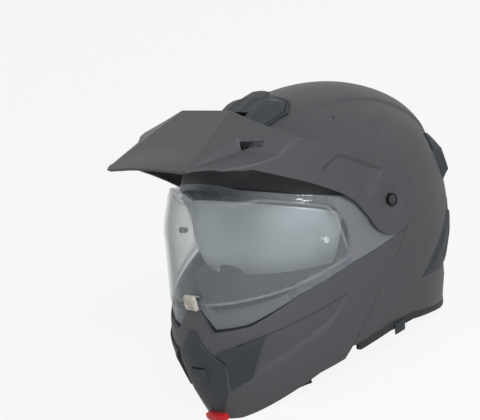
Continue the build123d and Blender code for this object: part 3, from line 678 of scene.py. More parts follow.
def in_chin(c):
    place = seen(c, side_view)
    fits = holds(below_top, place) or (c.y < 0 and holds(nose_area, seen(c, front_view)))
    return fits and holds(ahead, place) and not holds(under, place)


keep_faces(chin, in_chin)
band_outer = [(-172, -79), (-148.5, -75), (-72.3, -65.9), (-75.8, -72), (-99, -91), (-166, -115.8),
              (-183, -128)]
band_inner = [(-172, -80.5), (-148.5, -76.4), (-78, -68.2), (-82, -74), (-93, -83), (-101.3, -86.4),
              (-140.4, -100), (-163, -108.5), (-176, -114)]
raise_field(chin, band_outer, band_inner, side_view, -2.4, lambda c: c.x > 26)
mirrored_half(chin)
finish_piece("chin_bar_skin", chin, shell_look, "chin_bar", ["chin_bar"], wall=chin_wall)


def swept(corners, move):
    """Solid that a flat face leaves on a straight move."""
    bm = bmesh.new()
    face = bm.faces.new([bm.verts.new(corner) for corner in corners])
    grown = bmesh.ops.extrude_face_region(bm, geom=[face])
    bmesh.ops.translate(
        bm, vec=move, verts=[item for item in grown["geom"] if isinstance(item, bmesh.types.BMVert)])
    bmesh.ops.recalc_face_normals(bm, faces=bm.faces)
    return bm


arm_outline = arc(29, -62, 214, 30) + [(-19.9, -52), (-6.6, -52), (8.6, -37.7)]
arms = swept([(chin_arm_inner, u, v) for u, v in arm_outline], (chin_arm_outer - chin_arm_inner, 0, 0))
mirrored_half(arms)
finish_piece("chin_bar_arms", arms, shell_look, "chin_bar", edge=0.4)

# Chin trim and its two vents. Dark moulded plates let into the jaw guard's front; each
# vent has a fold that runs from its inner corner up to its outer one.
trim_look = paint_finish("moulded_dark_trim", tone(60, 64, 68), 0.5), "trim_dark"


def front_skin(outline, grow, low, high, reach_turn):
    """Piece of the lower form in front, cut to a front view outline."""
    bm = sheet(70, 60, lambda a, b: body_point(reach_turn * a, low + (high - low) * b, grow))
    cut_out(bm, outline, front_view)
    return bm


trim_side = front_places((
    (0.04, -0.389), (0.073, -0.42), (0.137, -0.484), (0.177, -0.522), (0.266, -0.599),
    (0.202, -0.815), (0.089, -0.94)))
trim_full = [(-u, v) for u, v in reversed(trim_side)] + trim_side
trim_plate = front_skin(trim_full, 0.7, -150, -58, 0.75)
trim_fold = inset_outline(trim_full, 3.2)
raise_field(trim_plate, trim_full, trim_fold, front_view, 1.0)
slot = [(-9.5, -97.5), (9.5, -97.5), (9.5, -107), (-9.5, -107)]
raise_field(trim_plate, slot, inset_outline(slot, 0.8), front_view, -1.4)
mirrored_half(trim_plate)
finish_piece("chin_trim_plate", trim_plate, trim_look, "chin_bar", ["chin_trim"], wall=2.6, crease=15)

vent_outline = front_places((
    (0.228, -0.532), (0.302, -0.605), (0.246, -0.785), (0.411, -0.732), (0.573, -0.478)))
vent_fold = [(37.8, -95), (71, -75.2)]
vent_inner = [(27, -83), (37.5, -95), (30.5, -123)]


def vent_rise(co):
    """The cover stands up along its fold and along its inner edge."""
    place = seen(co, front_view)
    fold = max(1 - gap_to(vent_fold, place, closed=False) / 26, 0)
    inner = max(1 - gap_to(vent_inner, place, closed=False) / 9, 0)
    return 2.6 * fold * (0.35 + 0.65 * eased((72 - place[0]) / 20)) + 1.2 * inner


for name in ("left", "right"):
    vent = front_skin(vent_outline, 0.5, -128, -70, 1.0)
    score(vent, vent_fold, front_view)
    vent.normal_update()
    push(vent, vent_rise)
    if name == "right":
        right_twin(vent)
    finish_piece("chin_vent_cover_" + name, vent, trim_look, "chin_bar",
                 ["chin_vent_" + name], wall=3.4, edge=0.6, crease=15)

flat_limit = math.radians(1.5)
sharp_limit = math.radians(35)


def soften(node, name, look, body, width=0.8, drawn_in=0):
    """Rounded copy of a moulded piece, with its edges run off."""
    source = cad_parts[node]
    bm = bmesh.new()
    bm.from_mesh(source.data)
    bmesh.ops.transform(bm, matrix=source.matrix_world, verts=bm.verts)
    bmesh.ops.remove_doubles(bm, verts=bm.verts, dist=0.00002)
    bmesh.ops.dissolve_limit(
        bm, angle_limit=flat_limit, verts=bm.verts, edges=bm.edges, use_dissolve_boundaries=False)
    if drawn_in:
        bm.normal_update()
        for vert in bm.verts:
            vert.co -= vert.normal * drawn_in * mm
    sharp = [edge for edge in bm.edges if len(edge.link_faces) == 2
             and edge.calc_face_angle(0) > sharp_limit]
    bmesh.ops.bevel(
        bm, geom=sharp, affect="EDGES", offset=width * mm, offset_type="OFFSET", segments=2, profile=0.5,
        material=-1, clamp_overlap=True)
    bmesh.ops.transform(bm, matrix=back_to_pivot, verts=bm.verts)
    finish_piece(name, bm, look, body, [node], edge=0)


soften("chin_vent_slider", "chin_vent_slide", trim_look, "chin_vent_slider", 0.6)

# Release button. A bright red moulded tab under the chin, which opens the jaw guard.
button_look = paint_finish("red_button", tone(214, 40, 44), 0.3), "lever_red"
soften("release_button", "release_tab", button_look, "release_button", 1.2)

# Clear shield. A hard coated sheet of clear plastic in front of the eye port, with a
# thick polished border, riding on the same pivots as the chin bar.
shield_half_width = 125
shield_rows = (
    (-0.446, 0.99, 0.944, 1.0), (-0.382, 0.995, 0.9335, 1.0), (-0.255, 1.0, 0.9016, 1.0),
    (0.0, 1.0, 0.83, 1.0), (0.155, 1.0, 0.798, 1.0), (0.409, 0.975, 0.69, 1.0),
    (0.668, 0.935, 0.585, 1.0), (0.8, 0.91, 0.535, 1.0))
shield_upper = side_places((
    (0, 0.166), (-0.207, 0.134), (-0.441, 0.264), (-0.59, 0.363), (-0.654, 0.475), (-1.1, 0.475)))


def clear_finish(name, colour, body_share, tint=(0.985, 0.99, 0.987)):
    """Thin clear plastic: what is behind shows through, and the surface mirrors at a glance."""
    clear = Finish(name)
    fine = clear.speckle(45, 2.0)
    glance = clear.node("LayerWeight", out="Facing", Blend=0.5)
    through = clear.node("BsdfTransparent", Color=(*tint, 1))
    gloss = clear.node(
        "BsdfPrincipled", Base_Color=clear.blend(fine, colour, tuple(0.93 * part for part in colour)),
        Roughness=0.04 + 0.04 * fine, Coat_Weight=0.5 + 0.1 * fine)
    mixed = clear.node("MixShader", Fac=glance ** 4.0 * 0.5 + body_share, _1=through, _2=gloss)
    clear.send(mixed)
    return clear.material


shield_clear = clear_finish("clear_shield", tone(212, 220, 224), 0.11)
shield_border = clear_finish("clear_shield_border", tone(186, 193, 202), 0.24, (0.95, 0.96, 0.97))
shield_ear = clear_finish("clear_shield_ear", tone(160, 166, 172), 0.5, (0.9, 0.92, 0.94))


def shield_surface(turn_share, rise_share):
    return oval_point(
        shield_rows, shield_half_width, 0.6 * half_turn * turn_share, -68 + 146 * rise_share, 0)


shield = sheet(100, 48, shield_surface)
shield_hub_radius = 31
shield_hub = arc(shield_hub_radius, 0, 360, 40)[:-1]
shield_area = shield_lower + list(reversed(shield_upper))
notch_area = [(0, notch[0][1])] + notch + [(0, notch[-1][1])]
score(shield, shield_lower, side_view)
score(shield, shield_upper, side_view)
score(shield, notch, front_view, where=lambda c: c.y < 0)
slice_along(shield, shield_hub, side_view)
keep_faces(shield, lambda c: (
    (holds(shield_area, seen(c, side_view)) and not (
        c.y < 0 and holds(notch_area, seen(c, front_view))))
    or math.hypot(c.y, c.z) < shield_hub_radius))
window = rounded([(-52, 4), (-54, -20), (-64, -33), (-115, -43), (-150, -50), (-215, -50), (-215, 62),
                  (-126, 62), (-108, 50), (-84, 36), (-60, 24)], 1)
window_inner = inset_outline(window, 1.8)
slice_along(shield, window, side_view, where=lambda c: c.y < -40)
slice_along(shield, window_inner, side_view, where=lambda c: c.y < -40)
nose_lift = [(0, -34), (13, -35), (31, -50), (34, -70), (0, -70)]
nose_line = nose_lift[1:4]
ear_start = -60


def over_nose(c):
    return c.y < 0 and holds(nose_lift, (abs(c.x), c.z))


def window_rise(co):
    """The window stands out from the border by a small step."""
    place = seen(co, side_view)
    if not holds(window, place) or over_nose(co):
        return 0
    away = min(gap_to(window, place), gap_to(nose_line, seen(co, front_view), closed=False))
    return 0.9 * min(away / 1.8, 1)


def shield_part(c):
    """0 for the window, 1 for its border and 2 for the ears."""
    if holds(window_inner, seen(c, side_view)) and not over_nose(c):
        return 0
    return 1 if c.y < ear_start else 2


score(shield, nose_line, front_view, where=lambda c: c.y < 0)
shield.normal_update()
push(shield, window_rise)
mirrored_half(shield)
share_out(finish_piece(
    "shield_sheet", shield, (shield_clear, "shield_clear"), "shield", ["shield"], wall=2.2, edge=0.4),
    (shield_border, shield_ear), shield_part)

# Anti-fog lens. A thin clear inner sheet held to the shield by two bright pins, with a
# cloudier edge all round.
lens_clear = clear_finish("clear_lens", tone(212, 220, 224), 0.05)
lens_edge = clear_finish("clear_lens_edge", tone(226, 230, 234), 0.2, (0.96, 0.97, 0.97))
lens_outline = side_places((
    (-0.305, -0.216), (-0.612, -0.267), (-1.1, -0.267), (-1.1, 0.293), (-0.559, 0.293),
    (-0.479, 0.242), (-0.335, 0.14), (-0.309, 0.076)))
lens = sheet(80, 44, lambda a, b: oval_point(
    shield_rows, shield_half_width, 0.5 * half_turn * a, -44 + 92 * b, -2.6))
cut_out(lens, lens_outline, side_view)
lens_inner = inset_outline(lens_outline, 2.4)
slice_along(lens, lens_inner, side_view)
mirrored_half(lens)
share_out(finish_piece(
    "lens_sheet", lens, (lens_clear, "lens_clear"), "shield", ["antifog_lens"], wall=0.9, edge=0.2),
    (lens_edge,), lambda c: 0 if holds(lens_inner, seen(c, side_view)) else 1)

bright_pin = Finish("bright_pin")
bright_pin_metal = bright_pin.surface(
    Base_Color=bright_pin.blend(bright_pin.speckle(900), tone(236, 238, 240), tone(214, 217, 220)),
    Metallic=0.3, Roughness=0.2 + 0.08 * bright_pin.speckle(700))


def turned(name, profile, centre, look, body, nodes):
    """Round pieces on both sides, from places along X and the radii there."""
    bm = bmesh.new()
    row = [bm.verts.new((along, radius, 0)) for along, radius in profile]
    edges = [bm.edges.new(pair) for pair in zip(row, row[1:])]
    bmesh.ops.spin(
        bm, geom=row + edges, cent=(0, 0, 0), axis=(1, 0, 0), angle=2 * half_turn, steps=40,
        use_merge=True)
    bmesh.ops.remove_doubles(bm, verts=bm.verts, dist=0.001)
    bmesh.ops.translate(bm, vec=(0, centre[0], centre[1]), verts=bm.verts)
    bmesh.ops.recalc_face_normals(bm, faces=bm.faces)
    bmesh.ops.mirror(bm, geom=bm.verts[:] + bm.edges[:] + bm.faces[:], axis="X", merge_dist=0.0001)
    bmesh.ops.recalc_face_normals(bm, faces=bm.faces)
    finish_piece(name, bm, look, body, nodes, edge=0)


turned("lens_pin_heads", (
    (102.2, 0), (102.2, 2.6), (102.6, 3), (103.6, 3), (103.7, 1.5), (108.6, 1.5), (108.8, 3.2),
    (109.6, 3.4), (110.2, 2.9), (110.2, 1.5), (109.7, 1.2), (109.7, 0)), (-77, -8),
    (bright_pin_metal, "panel_black"), "shield", ["lens_pins"])

# Shield latch. An ivory moulded tab with a stepped face, a cheek on each side and a bar
# below it, on a steel pin. Each block has an outline in the front view and two reaches to
# the front.
ivory = paint_finish("ivory_plastic", tone(214, 209, 200), 0.35)
latch = bmesh.new()
for outline, low, high in (
        ([(-8, -36.5), (8, -36.5), (8, -31), (6.5, -29), (-6.5, -29), (-8, -31)], 170.6, 174.4),
        ([(-8, -42), (-5.6, -42), (-5.6, -36), (-8, -36)], 171, 175.2),
        ([(-5.2, -41), (3.4, -41), (3.4, -37), (-5.2, -37)], 171, 174),
        ([(4, -43.5), (8, -43.5), (8, -36), (4, -36)], 171, 175.4),
        ([(-6.5, -43.4), (7.5, -43.4), (7.5, -41.2), (-6.5, -41.2)], 171.6, 174.6)):
    part = swept([(u, -low, v) for u, v in outline], (0, low - high, 0))
    bmesh.ops.bevel(
        part, geom=part.edges[:], affect="EDGES", offset=0.5, segments=2, profile=0.5, material=-1,
        clamp_overlap=True)
    part_mesh = bpy.data.meshes.new("latch_part")
    part.to_mesh(part_mesh)
    part.free()
    latch.from_mesh(part_mesh)
    bpy.data.meshes.remove(part_mesh)
finish_piece("latch_tab", latch, (ivory, "latch_ivory"), "shield_latch", ["shield_latch"], edge=0)

# Sun visor. A mirror coated sheet inside the shield, cut away over the nose.
visor_half_width = 107
visor_radius = 106
visor_centre = Vector((0, -12, -12))
visor_edge = side_places((
    (-0.01, -0.13), (0, -0.05), (-0.05, 0.01), (-0.181, 0.089), (-0.372, 0.229), (-0.665, 0.318),
    (-0.665, -0.197), (-0.5, -0.229), (-0.33, -0.255), (-0.234, 0), (-0.12, -0.12)))
mirror_coat = Finish("mirror_coat")
coat_place = mirror_coat.node("SeparateXYZ", Vector=mirror_coat.place(), out="X")
teal_share = mirror_coat.ramp(
    coat_place * 5.0 + 0.5, (0.0, (1, 1, 1, 1)), (0.24, (0.6, 0.6, 0.6, 1)), (0.36, (0, 0, 0, 1)),
    (1.0, (0, 0, 0, 1)))
mirror_metal = mirror_coat.surface(
    Base_Color=mirror_coat.blend(teal_share, tone(186, 194, 202), tone(88, 116, 124)),
    Metallic=0.55, Roughness=0.42 + 0.05 * mirror_coat.speckle(18), Coat_Weight=0.3)


def visor_surface(turn_share, spin_share):
    """The visor is turned about its own cross axis: one share across, one round it."""
    swing = math.radians(60 + 80 * spin_share)
    across = visor_half_width * math.sin(quarter * turn_share)
    ring = visor_radius * math.cos(quarter * turn_share)
    return visor_centre + Vector((across, -ring * math.sin(swing), ring * math.cos(swing)))


visor = sheet(64, 40, visor_surface)
cut_out(visor, visor_edge, side_view)
nose_half = front_places(((0.25, -0.4), (0.2, -0.23), (0.11, -0.14)))
nose_cut = rounded(nose_half + [(-u, v) for u, v in reversed(nose_half)], 2)
cut_out(visor, nose_cut, front_view, inside=False)
mirrored_half(visor)
finish_piece("sun_visor_sheet", visor, (mirror_metal, "visor_mirror"), "sun_visor", ["sun_visor"],
             wall=2, edge=0.4)

# Peak. A folded visor of painted plastic over the brow, carried by two broad arms that
# turn on the pivots, with a sunk scoop and its air slot on either side of its top.
peak_outline = top_places((
    (0, -0.96), (0.25, -0.955), (0.49, -0.922), (0.628, -0.827), (0.745, -0.723), (0.862, -0.577),
    (0.958, -0.407), (1.02, -0.245), (1.036, -0.17), (1.036, 0.25)))
peak_tip = (61, -173.3)
peak_lower = side_places((
    (-1.0, 0.66), (-0.918, 0.658), (-0.824, 0.628), (-0.723, 0.594), (-0.574, 0.466),
    (-0.404, 0.318), (-0.245, 0.15), (-0.191, 0.019)))
peak_rear = side_places((
    (0.03, 0.235), (-0.106, 0.35), (-0.255, 0.49), (-0.415, 0.631), (-0.44, 0.72), (-0.44, 1.2)))
peak_heart = 40
peak_start, peak_length = -182, 229
corner_round = 4
crease_columns = 0.36
facet_columns = 0.66

# The top is a level band with a falling facet on either side of it.
front_along, front_height, crease_across = -172, 105, 61
level_rise, facet_rise, facet_fall = 0.253, 0.158, 0.344


def peak_half(along):
    """Half width of the peak at a place along it."""
    if along < peak_tip[1]:
        return peak_tip[0] - 0.3 * (peak_tip[1] - along)
    for (w0, a0), (w1, a1) in runs(peak_outline, False):
        if a0 <= along <= a1:
            return w0 + (w1 - w0) * (along - a0) / max(a1 - a0, 1e-6)
    return peak_outline[-1][0]


def soft_least(one, two, width):
    share = max(width - abs(one - two), 0) / width
    return min(one, two) - share * share * width * 0.25


def peak_surface(turn_share, along_share):
    """Each cross section is drawn by rays from a heart line low in the middle."""
    along = peak_start + peak_length * along_share
    level = front_height + level_rise * (along - front_along) - peak_heart
    facet = (front_height + facet_fall * crease_across + facet_rise * (along - front_along)
             - peak_heart)
    crease = max((facet - level) / facet_fall, 1)
    crease_turn = math.atan2(crease, level)
    half = peak_half(along)
    corner = facet - facet_fall * half
    corner_turn = max(math.atan2(half, corner), crease_turn + 0.05)
    last_turn = math.radians(124)
    if turn_share < crease_columns:
        turn = crease_turn * turn_share / crease_columns
    elif turn_share < facet_columns:
        turn = crease_turn + (corner_turn - crease_turn) * (turn_share - crease_columns) / (
            facet_columns - crease_columns)
    else:
        turn = corner_turn + (last_turn - corner_turn) * (turn_share - facet_columns) / (
            1 - facet_columns)
    across, up = math.sin(turn), math.cos(turn)
    wall = half / max(across, 1e-6)
    slope = up + facet_fall * across
    top = facet / slope if slope > 0.02 else 1e9
    if up > 0.02:
        top = min(top, level / up)
    ray = soft_least(wall, top, corner_round)
    return Vector((ray * across, along, peak_heart + ray * up))


peak = sheet(100, 76, peak_surface)
hub_arc = arc(33, 187, 425, 30)
peak_side = rounded(peak_lower, 1, False) + hub_arc + peak_rear + [
    (-far, peak_rear[-1][1]), (-far, peak_lower[0][1])]
score(peak, peak_side[:-2], side_view)
front_line = [(0, -177.5), (34, -177), (54, -175.2), (60, -173), (140, -173)]
score(peak, front_line, top_view)
before_front = front_line + [(140, -far), (0, -far)]
keep_faces(peak, lambda c: (
    holds(peak_side, seen(c, side_view)) and not holds(before_front, seen(c, top_view))))
arch = 4.5
for vert in peak.verts:
    if vert.co.z > 90:
        vert.co.z += arch * max(1 - (vert.co.x / 58) ** 2, 0) * eased((-140 - vert.co.y) / 35)

scoop_outer = [(60.3, -167.5), (71.5, -110.8), (117, -83.6), (130, -90), (112, -130), (97, -142)]
scoop_inner = [(62.2, -163.5), (74.2, -114.4), (110.5, -100), (130, -101), (112, -128), (97, -140)]
scoop_deep = 9
flank = 13


def on_top(c):
    return c.z > 66


def on_hub(c):
    return c.x > 100


slice_along(peak, scoop_outer, top_view, where=on_top)
slice_along(peak, scoop_inner, top_view, where=on_top)
for vert in peak.verts:
    place = seen(vert.co, top_view)
    if on_top(vert.co) and holds(scoop_outer, place):
        corner = (front_height + facet_fall * (crease_across - peak_half(vert.co.y))
                  + facet_rise * (vert.co.y - front_along))
        down = min(max(1 - (corner - vert.co.z) / flank, 0), 1)
        depth = 1 + (scoop_deep - 1) * min(max((vert.co.y + 166) / 48, 0), 1)
        vert.co.z -= depth * down * field_share(scoop_outer, scoop_inner, place)
slot_hole = [(72.6, -111.6), (93, -99.5), (92.5, -103.5), (74.4, -114.6)]
cut_out(peak, slot_hole, top_view, inside=False, where=on_top)

arm_outer = [(-71.5, 61), (-47.2, 68.2), (-38.9, 64.7), (3.5, 31.4), (-27.9, 10.6), (-42.4, 38.6)]
arm_inner = [(-63, 59.2), (-48, 64), (-41.3, 61), (-3, 31.8), (-27, 16), (-39.2, 40.6)]
raise_field(peak, arm_outer, arm_inner, side_view, -3.0, lambda c: c.x > 80 and c.z < 90,
            lambda c: eased((math.hypot(c.y, c.z) - 16) / 26))
dish_radius = 20
bore_radius = 6.2
for radius in (dish_radius, 17, 14, 11, 8.5):
    slice_along(peak, arc(radius, 0, 360, 36)[:-1], side_view, where=on_hub)
for vert in peak.verts:
    if on_hub(vert.co):
        vert.co.x -= 2.0 * eased((dish_radius - math.hypot(vert.co.y, vert.co.z)) / 11)
slice_along(peak, arc(bore_radius, 0, 360, 36)[:-1], side_view, where=on_hub)
keep_faces(peak, lambda c: not (on_hub(c) and math.hypot(c.y, c.z) < bore_radius))
mirrored_half(peak)
finish_piece("peak_skin", peak, shell_look, "peak", ["peak"], wall=2.7, edge=0.9, crease=15)

ribs = bmesh.new()
for side in (1, -1):
    for across in (79.5, 83.5):
        made = bmesh.ops.create_cube(ribs, size=1)
        bmesh.ops.scale(ribs, vec=(1.0, 6, 4), verts=made["verts"])
        bmesh.ops.rotate(ribs, matrix=Matrix.Rotation(math.radians(-28), 3, "Z"), verts=made["verts"])
        bmesh.ops.translate(ribs, vec=(across, -109 + 0.6 * (across - 79.5), 98.4), verts=made["verts"])
        if side < 0:
            bmesh.ops.scale(ribs, vec=(-1, 1, 1), verts=made["verts"])
bmesh.ops.recalc_face_normals(ribs, faces=ribs.faces)
finish_piece("scoop_ribs", ribs, shell_look, "peak", edge=0.3)

# Pivot screws. A black ring round each screw head, with a moulded cap in it.
hub_ring = paint_finish("black_ring", tone(14, 14, 15), 0.42)
turned("pivot_rings", (
    (127.2, 2.6), (127.2, 6.1), (129.8, 6.1), (130.3, 5.9), (130.3, 4.9), (129.4, 4.7), (129.4, 2.6),
    (127.2, 2.6)), (0, 0), (hub_ring, "steel"), "helmet", ["pivot_screws"])
turned("pivot_cap_discs", (
    (128.6, 0), (128.6, 4.7), (129.7, 4.7), (130.1, 4.3), (130.1, 0)), (0, 0), trim_look,
    "helmet", ["pivot_caps"])

# Top vent. A moulded cover on the crown with sloping sides, a groove inside its rim and
# room in front for a small slider.
vent_half = [(28, -86), (40, -50), (47.5, -25), (37, -9), (0, -5)]
vent_rim = [(-u, v) for u, v in reversed(vent_half[:-1])] + vent_half
top_cover = sheet(70, 70, lambda a, b: crown_over(56 * a, -92 + 92 * b, 0.3))
cut_out(top_cover, vent_rim, top_view)
groove = [inset_outline(vent_rim, gap) for gap in (2.4, 3.1, 3.8)]
for line in groove:
    slice_along(top_cover, line, top_view)
vent_fold_half = [(0, -11), (33, -13), (44, -25), (38, -50), (28, -96)]
vent_fold_line = inset_outline([(-u, v) for u, v in vent_fold_half[:-1]] + vent_fold_half, 11)
slice_along(top_cover, vent_fold_line, top_view)
groove_width, groove_deep, rim_rise, middle_rise = 0.7, 1.5, 1.6, 6.2


def cover_rise(co):
    place = seen(co, top_view)
    near = min(gap_to(groove[1], place), groove_width) / groove_width
    rise = rim_rise + middle_rise * field_share(groove[1], vent_fold_line, place)
    return rise - groove_deep * (1 - near)


top_cover.normal_update()
push(top_cover, cover_rise)
cut_out(top_cover, [(-13.3, -63.3), (13.3, -63.3), (13.3, -44), (-13.3, -44)], top_view, inside=False)
mirrored_half(top_cover)
finish_piece("top_vent_cover", top_cover, trim_look, "helmet", ["top_vent"], wall=2.2,
             edge=0.5, crease=15)
soften("top_vent_slider", "top_vent_slide", trim_look, "top_vent_slider", 0.7)

# Rear spoiler and lower rear vents. Dark moulded wings let into the back of the shell.
wing_half = [(45, -2), (84, 23), (87, 0), (85, -31), (45, -26)]


def rear_point(across_share, rise_share):
    across = 92 * across_share
    up = -34 + 62 * rise_share
    if up >= 0:
        rest = 1 - (across / half_width) ** 2 - (up / crown_rise) ** 2
        return Vector((across, back_reach * math.sqrt(max(rest, 0)), up))
    base = body_point(half_turn, up)
    wide = body_point(quarter, up).x
    return Vector((across, base.y * math.sqrt(max(1 - (across / wide) ** 2, 0)), up))


wing = sheet(80, 50, rear_point)
score(wing, wing_half, front_view)
wing_area = [(0, -2)] + wing_half + [(0, -26)]
score(wing, [(0, -2), (45, -2)], front_view)
score(wing, [(45, -26), (0, -26)], front_view)
keep_faces(wing, lambda c: holds(wing_area, seen(c, front_view)))
wing_crest = [(0, -12), (50, -12), (76, -2), (80, -8), (79, -24), (45, -20), (0, -20)]
score(wing, wing_crest, front_view)
wing.normal_update()
wing_foot = [(-9, -2)] + wing_half + [(-9, -26)]
wing_top = [(-9, -12)] + wing_crest[1:-1] + [(-9, -20)]
for vert in wing.verts:
    share = field_share(wing_foot, wing_top, seen(vert.co, front_view))
    move = vert.normal * (0.4 + 7.2 * share)
    vert.co += move if move.y > 0 else -move
mirrored_half(wing)
finish_piece("spoiler_wing", wing, trim_look, "helmet", ["rear_spoiler"], wall=1.6, edge=0.7)

rear_vent_outline = side_places(((0.596, -0.318), (0.106, -0.599), (0.372, -0.682), (0.564, -0.618)))
for name in ("left", "right"):
    rear_vent = sheet(
        70, 50, lambda a, b: body_point(half_turn * (0.5 + 0.45 * a), -112 + 66 * b, 0.4))
    cut_out(rear_vent, rear_vent_outline, side_view)
    for gap, depth in ((5, 1.8), (12, -1.4)):
        ring = inset_outline(rear_vent_outline, gap)
        raise_field(rear_vent, ring, inset_outline(ring, 1.6), side_view, depth)
    if name == "right":
        right_twin(rear_vent)
    finish_piece("rear_vent_cover_" + name, rear_vent, trim_look, "helmet",
                 ["rear_vent_" + name], wall=2.6, edge=0.5)

# Edge trim and sun visor slider. Soft black rubber pressed over the shell's lower edge
# in three lengths, with a ribbed slider that swings the sun visor.
rubber_look = paint_finish("trim_rubber", tone(56, 59, 61), 0.62), "rubber_black"
for node in ("edge_trim_rear", "edge_trim_left", "edge_trim_right"):
    soften(node, "rubber_" + node, rubber_look, "helmet", 1.3)
soften("sun_visor_slider", "visor_slide", trim_look, "sun_visor_slider", 1.0)
soften("brow_gasket", "brow_seal", rubber_look, "helmet", 0.6)
soften("breath_guard", "breath_flap", rubber_look, "chin_bar", 0.5)

# Side mechanism. Black moulded panels ahead of the seam, with textured inserts, red
# quick-release levers and steel pins that the jaw guard grips.
panel_black = paint_finish("moulded_black", tone(44, 45, 48), 0.55)
panel_look = panel_black, "panel_black"
insert_look = paint_finish("textured_insert", tone(70, 72, 75), 0.6), "panel_black"
lever_look = paint_finish("red_lever", tone(206, 36, 40), 0.32), "lever_red"
steel = Finish("brushed_steel")
steel_lines = steel.speckle(1.0, 3.0, 0.6, steel.node(
    "Mapping", Vector=steel.place(), Scale=(300, 2600, 2600)))
steel_metal = steel.surface(
    Base_Color=steel.blend(steel_lines, tone(150, 152, 156), tone(196, 198, 202)), Metallic=1.0,
    Roughness=0.28 + 0.14 * steel_lines, Normal=steel.bump(steel_lines, 0.1, 0.0001))
for side in ("left", "right"):
    soften("side_panel_" + side, "mechanism_panel_" + side, panel_look, "helmet", 0.5)
    soften("insert_panel_" + side, "mechanism_insert_" + side, insert_look, "helmet", 0.6)
    soften("release_lever_" + side, "quick_lever_" + side, lever_look, "release_lever_" + side, 0.4)

# Foam liners. Expanded beads pressed together in a mould, seen where the pads end.
beads = Finish("pressed_beads")
bead_cells = beads.node(
    "TexVoronoi", {"feature": "DISTANCE_TO_EDGE"}, out="Distance", Vector=beads.place(), Scale=320.0)
bead_tone = beads.speckle(150, 2.0)
bead_edge = beads.ramp(bead_cells, (0.0, (0, 0, 0, 1)), (0.16, (1, 1, 1, 1)))
beads_black = beads.surface(
    Base_Color=beads.blend(bead_edge * (0.6 + 0.4 * bead_tone), tone(16, 16, 17), tone(40, 40, 42)),
    Roughness=0.72 + 0.1 * bead_tone, Normal=beads.bump(bead_edge, 0.5, 0.0006))


def give(material, *names):
    """Put a finish on carried pieces."""
    for name in names:
        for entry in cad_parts[name].material_slots:
            entry.material = material


give(beads_black, "eps_crown", "eps_nape")
soften("chin_liner", "jaw_foam", (beads_black, "foam_black"), "chin_bar", 0.8, drawn_in=2.2)
give(steel_metal, "striker_pins", "lever_pins", "strap_rivets", "buckle_pin", "latch_pin")
give(panel_black, "pivot_bushes", "sun_visor_pins")

# Pads. Foam cut to shape and covered in brushed knit. They press into the liner and come
# out to be washed.
knit = Finish("brushed_knit")
knit_place = knit.place()
knit_cross, knit_up = (
    knit.bands(direction, knit_place, 420.0, Distortion=1.2, Detail=1.0) for direction in "XZ")
knit_weave = knit_cross * 0.5 + knit_up * 0.5
knit_fuzz = knit.speckle(700, 4.0, 0.7)
knit_black = knit.surface(
    Base_Color=knit.blend(knit_weave * 0.6 + knit_fuzz * 0.4, tone(20, 20, 22), tone(58, 58, 61)),
    Roughness=0.85 + 0.1 * knit_fuzz, Sheen_Weight=0.35, Sheen_Roughness=0.5,
    Normal=knit.bump(knit_weave * 0.6 + knit_fuzz * 0.4, 0.5, 0.0008))
voxel = 0.0048
cap_move = 0.004
pressure = 4.0
shrink = 0.0012
kept_swelling = 0.35


def smooth(bm, factor):
    bmesh.ops.smooth_vert(
        bm, verts=bm.verts, factor=factor, use_axis_x=True, use_axis_y=True, use_axis_z=True)


def settled_mesh(piece):
    """The piece's mesh with its modifiers applied, which then come off."""
    mesh = bpy.data.meshes.new_from_object(
        piece.evaluated_get(bpy.context.evaluated_depsgraph_get()))
    piece.modifiers.clear()
    return mesh


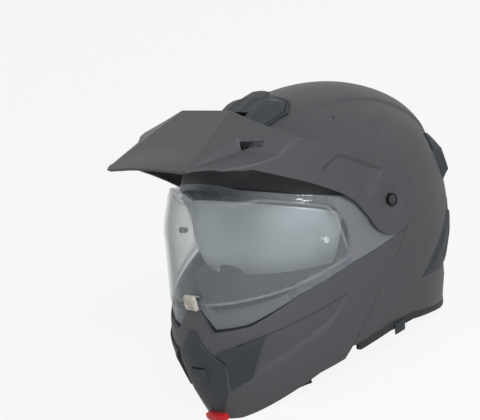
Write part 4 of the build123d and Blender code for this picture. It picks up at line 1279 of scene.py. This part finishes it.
def cushion(node, name):
    """Cushion swollen from a pad's space, held to a small move, then smoothed."""
    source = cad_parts[node]
    mesh = source.data.copy()
    piece = bpy.data.objects.new(name, mesh)
    scene.collection.objects.link(piece)
    remesh = piece.modifiers.new("grain", "REMESH")
    remesh.mode = "VOXEL"
    remesh.voxel_size = voxel
    settled = settled_mesh(piece)
    piece.data = settled
    bm = bmesh.new()
    bm.from_mesh(settled)
    smooth(bm, 0.5)
    bm.normal_update()
    push(bm, lambda c: -shrink)
    bm.to_mesh(settled)
    bm.free()
    rest = [vert.co.copy() for vert in settled.vertices]
    cloth = piece.modifiers.new("swell", "CLOTH")
    cloth.settings.use_pressure = True
    cloth.settings.uniform_pressure_force = pressure
    cloth.settings.effector_weights.gravity = 0
    cloth.settings.quality = 4
    for moment in range(1, 21):
        scene.frame_set(moment)
    swollen = settled_mesh(piece)
    for vert, start in zip(swollen.vertices, rest):
        move = vert.co - start
        if move.length > cap_move:
            move = move * (cap_move / move.length)
        vert.co = start + move * kept_swelling
    piece.data = swollen
    scene.frame_set(1)
    bm = bmesh.new()
    bm.from_mesh(piece.data)
    for _ in range(2):
        smooth(bm, 0.4)
    bmesh.ops.transform(bm, matrix=source.matrix_world, verts=bm.verts)
    bmesh.ops.transform(bm, matrix=back_to_pivot, verts=bm.verts)
    bpy.data.objects.remove(piece)
    made = finish_piece(name, bm, (knit_black, "pad_fabric"), "helmet", [node], edge=0, crease=180)
    fine = made.modifiers.new("fine", "SUBSURF")
    fine.levels = 1
    fine.render_levels = 1


cushion("crown_pad", "crown_cushion")
cushion("cheek_pad_left", "cheek_cushion_left")
cushion("cheek_pad_right", "cheek_cushion_right")
cushion("neck_roll", "neck_cushion")

# Chin strap. Woven webbing in two lengths, held to the shell by rivets, with a ratchet
# buckle: a housing and lever on the left, a toothed strip on the right.
webbing = Finish("woven_webbing")
web_place = webbing.place()
web_ribs = webbing.bands("Y", web_place, 330.0, Distortion=0.4)
web_rows = webbing.bands("DIAGONAL", web_place, 260.0, Distortion=0.3)
web_height = web_ribs * 0.5 + web_rows * 0.5
web_black = webbing.surface(
    Base_Color=webbing.blend(web_height, tone(18, 18, 20), tone(52, 52, 55)),
    Roughness=0.7 + 0.15 * web_height, Normal=webbing.bump(web_height, 0.6, 0.0005))
strap_line = front_places(((0.935, -0.4), (0.896, -0.605), (0.83, -0.752), (0.48, -0.879), (0.27, -0.93)))
strap_path = rounded(strap_line, 2, False)
strap_front, strap_rear = -9, 13
strap_steps = 6
for side, name in ((1, "left"), (-1, "right")):
    strap = bmesh.new()
    rows = []
    for u, v in strap_path:
        rows.append([
            strap.verts.new((
                side * (u - 0.65),
                strap_front + 0.6 + (strap_rear - strap_front - 1.2) * step / strap_steps, v))
            for step in range(strap_steps + 1)])
    for before, after in zip(rows, rows[1:]):
        for step in range(strap_steps):
            strap.faces.new((before[step], before[step + 1], after[step + 1], after[step]))
    bmesh.ops.recalc_face_normals(strap, faces=strap.faces)
    piece = finish_piece("webbing_" + name, strap, (web_black, "strap_webbing"), "helmet",
                         ["strap_" + name], wall=1.2, edge=0.3)
    length = sum((Vector(b) - Vector(a)).length for a, b in runs(strap_path, False))
soften("buckle_housing", "buckle_body", panel_look, "helmet", 0.6)
soften("buckle_strip", "buckle_teeth", (panel_black, "strip_black"), "helmet", 0.25)
soften("buckle_lever", "buckle_tab", lever_look, "buckle_lever", 0.5)
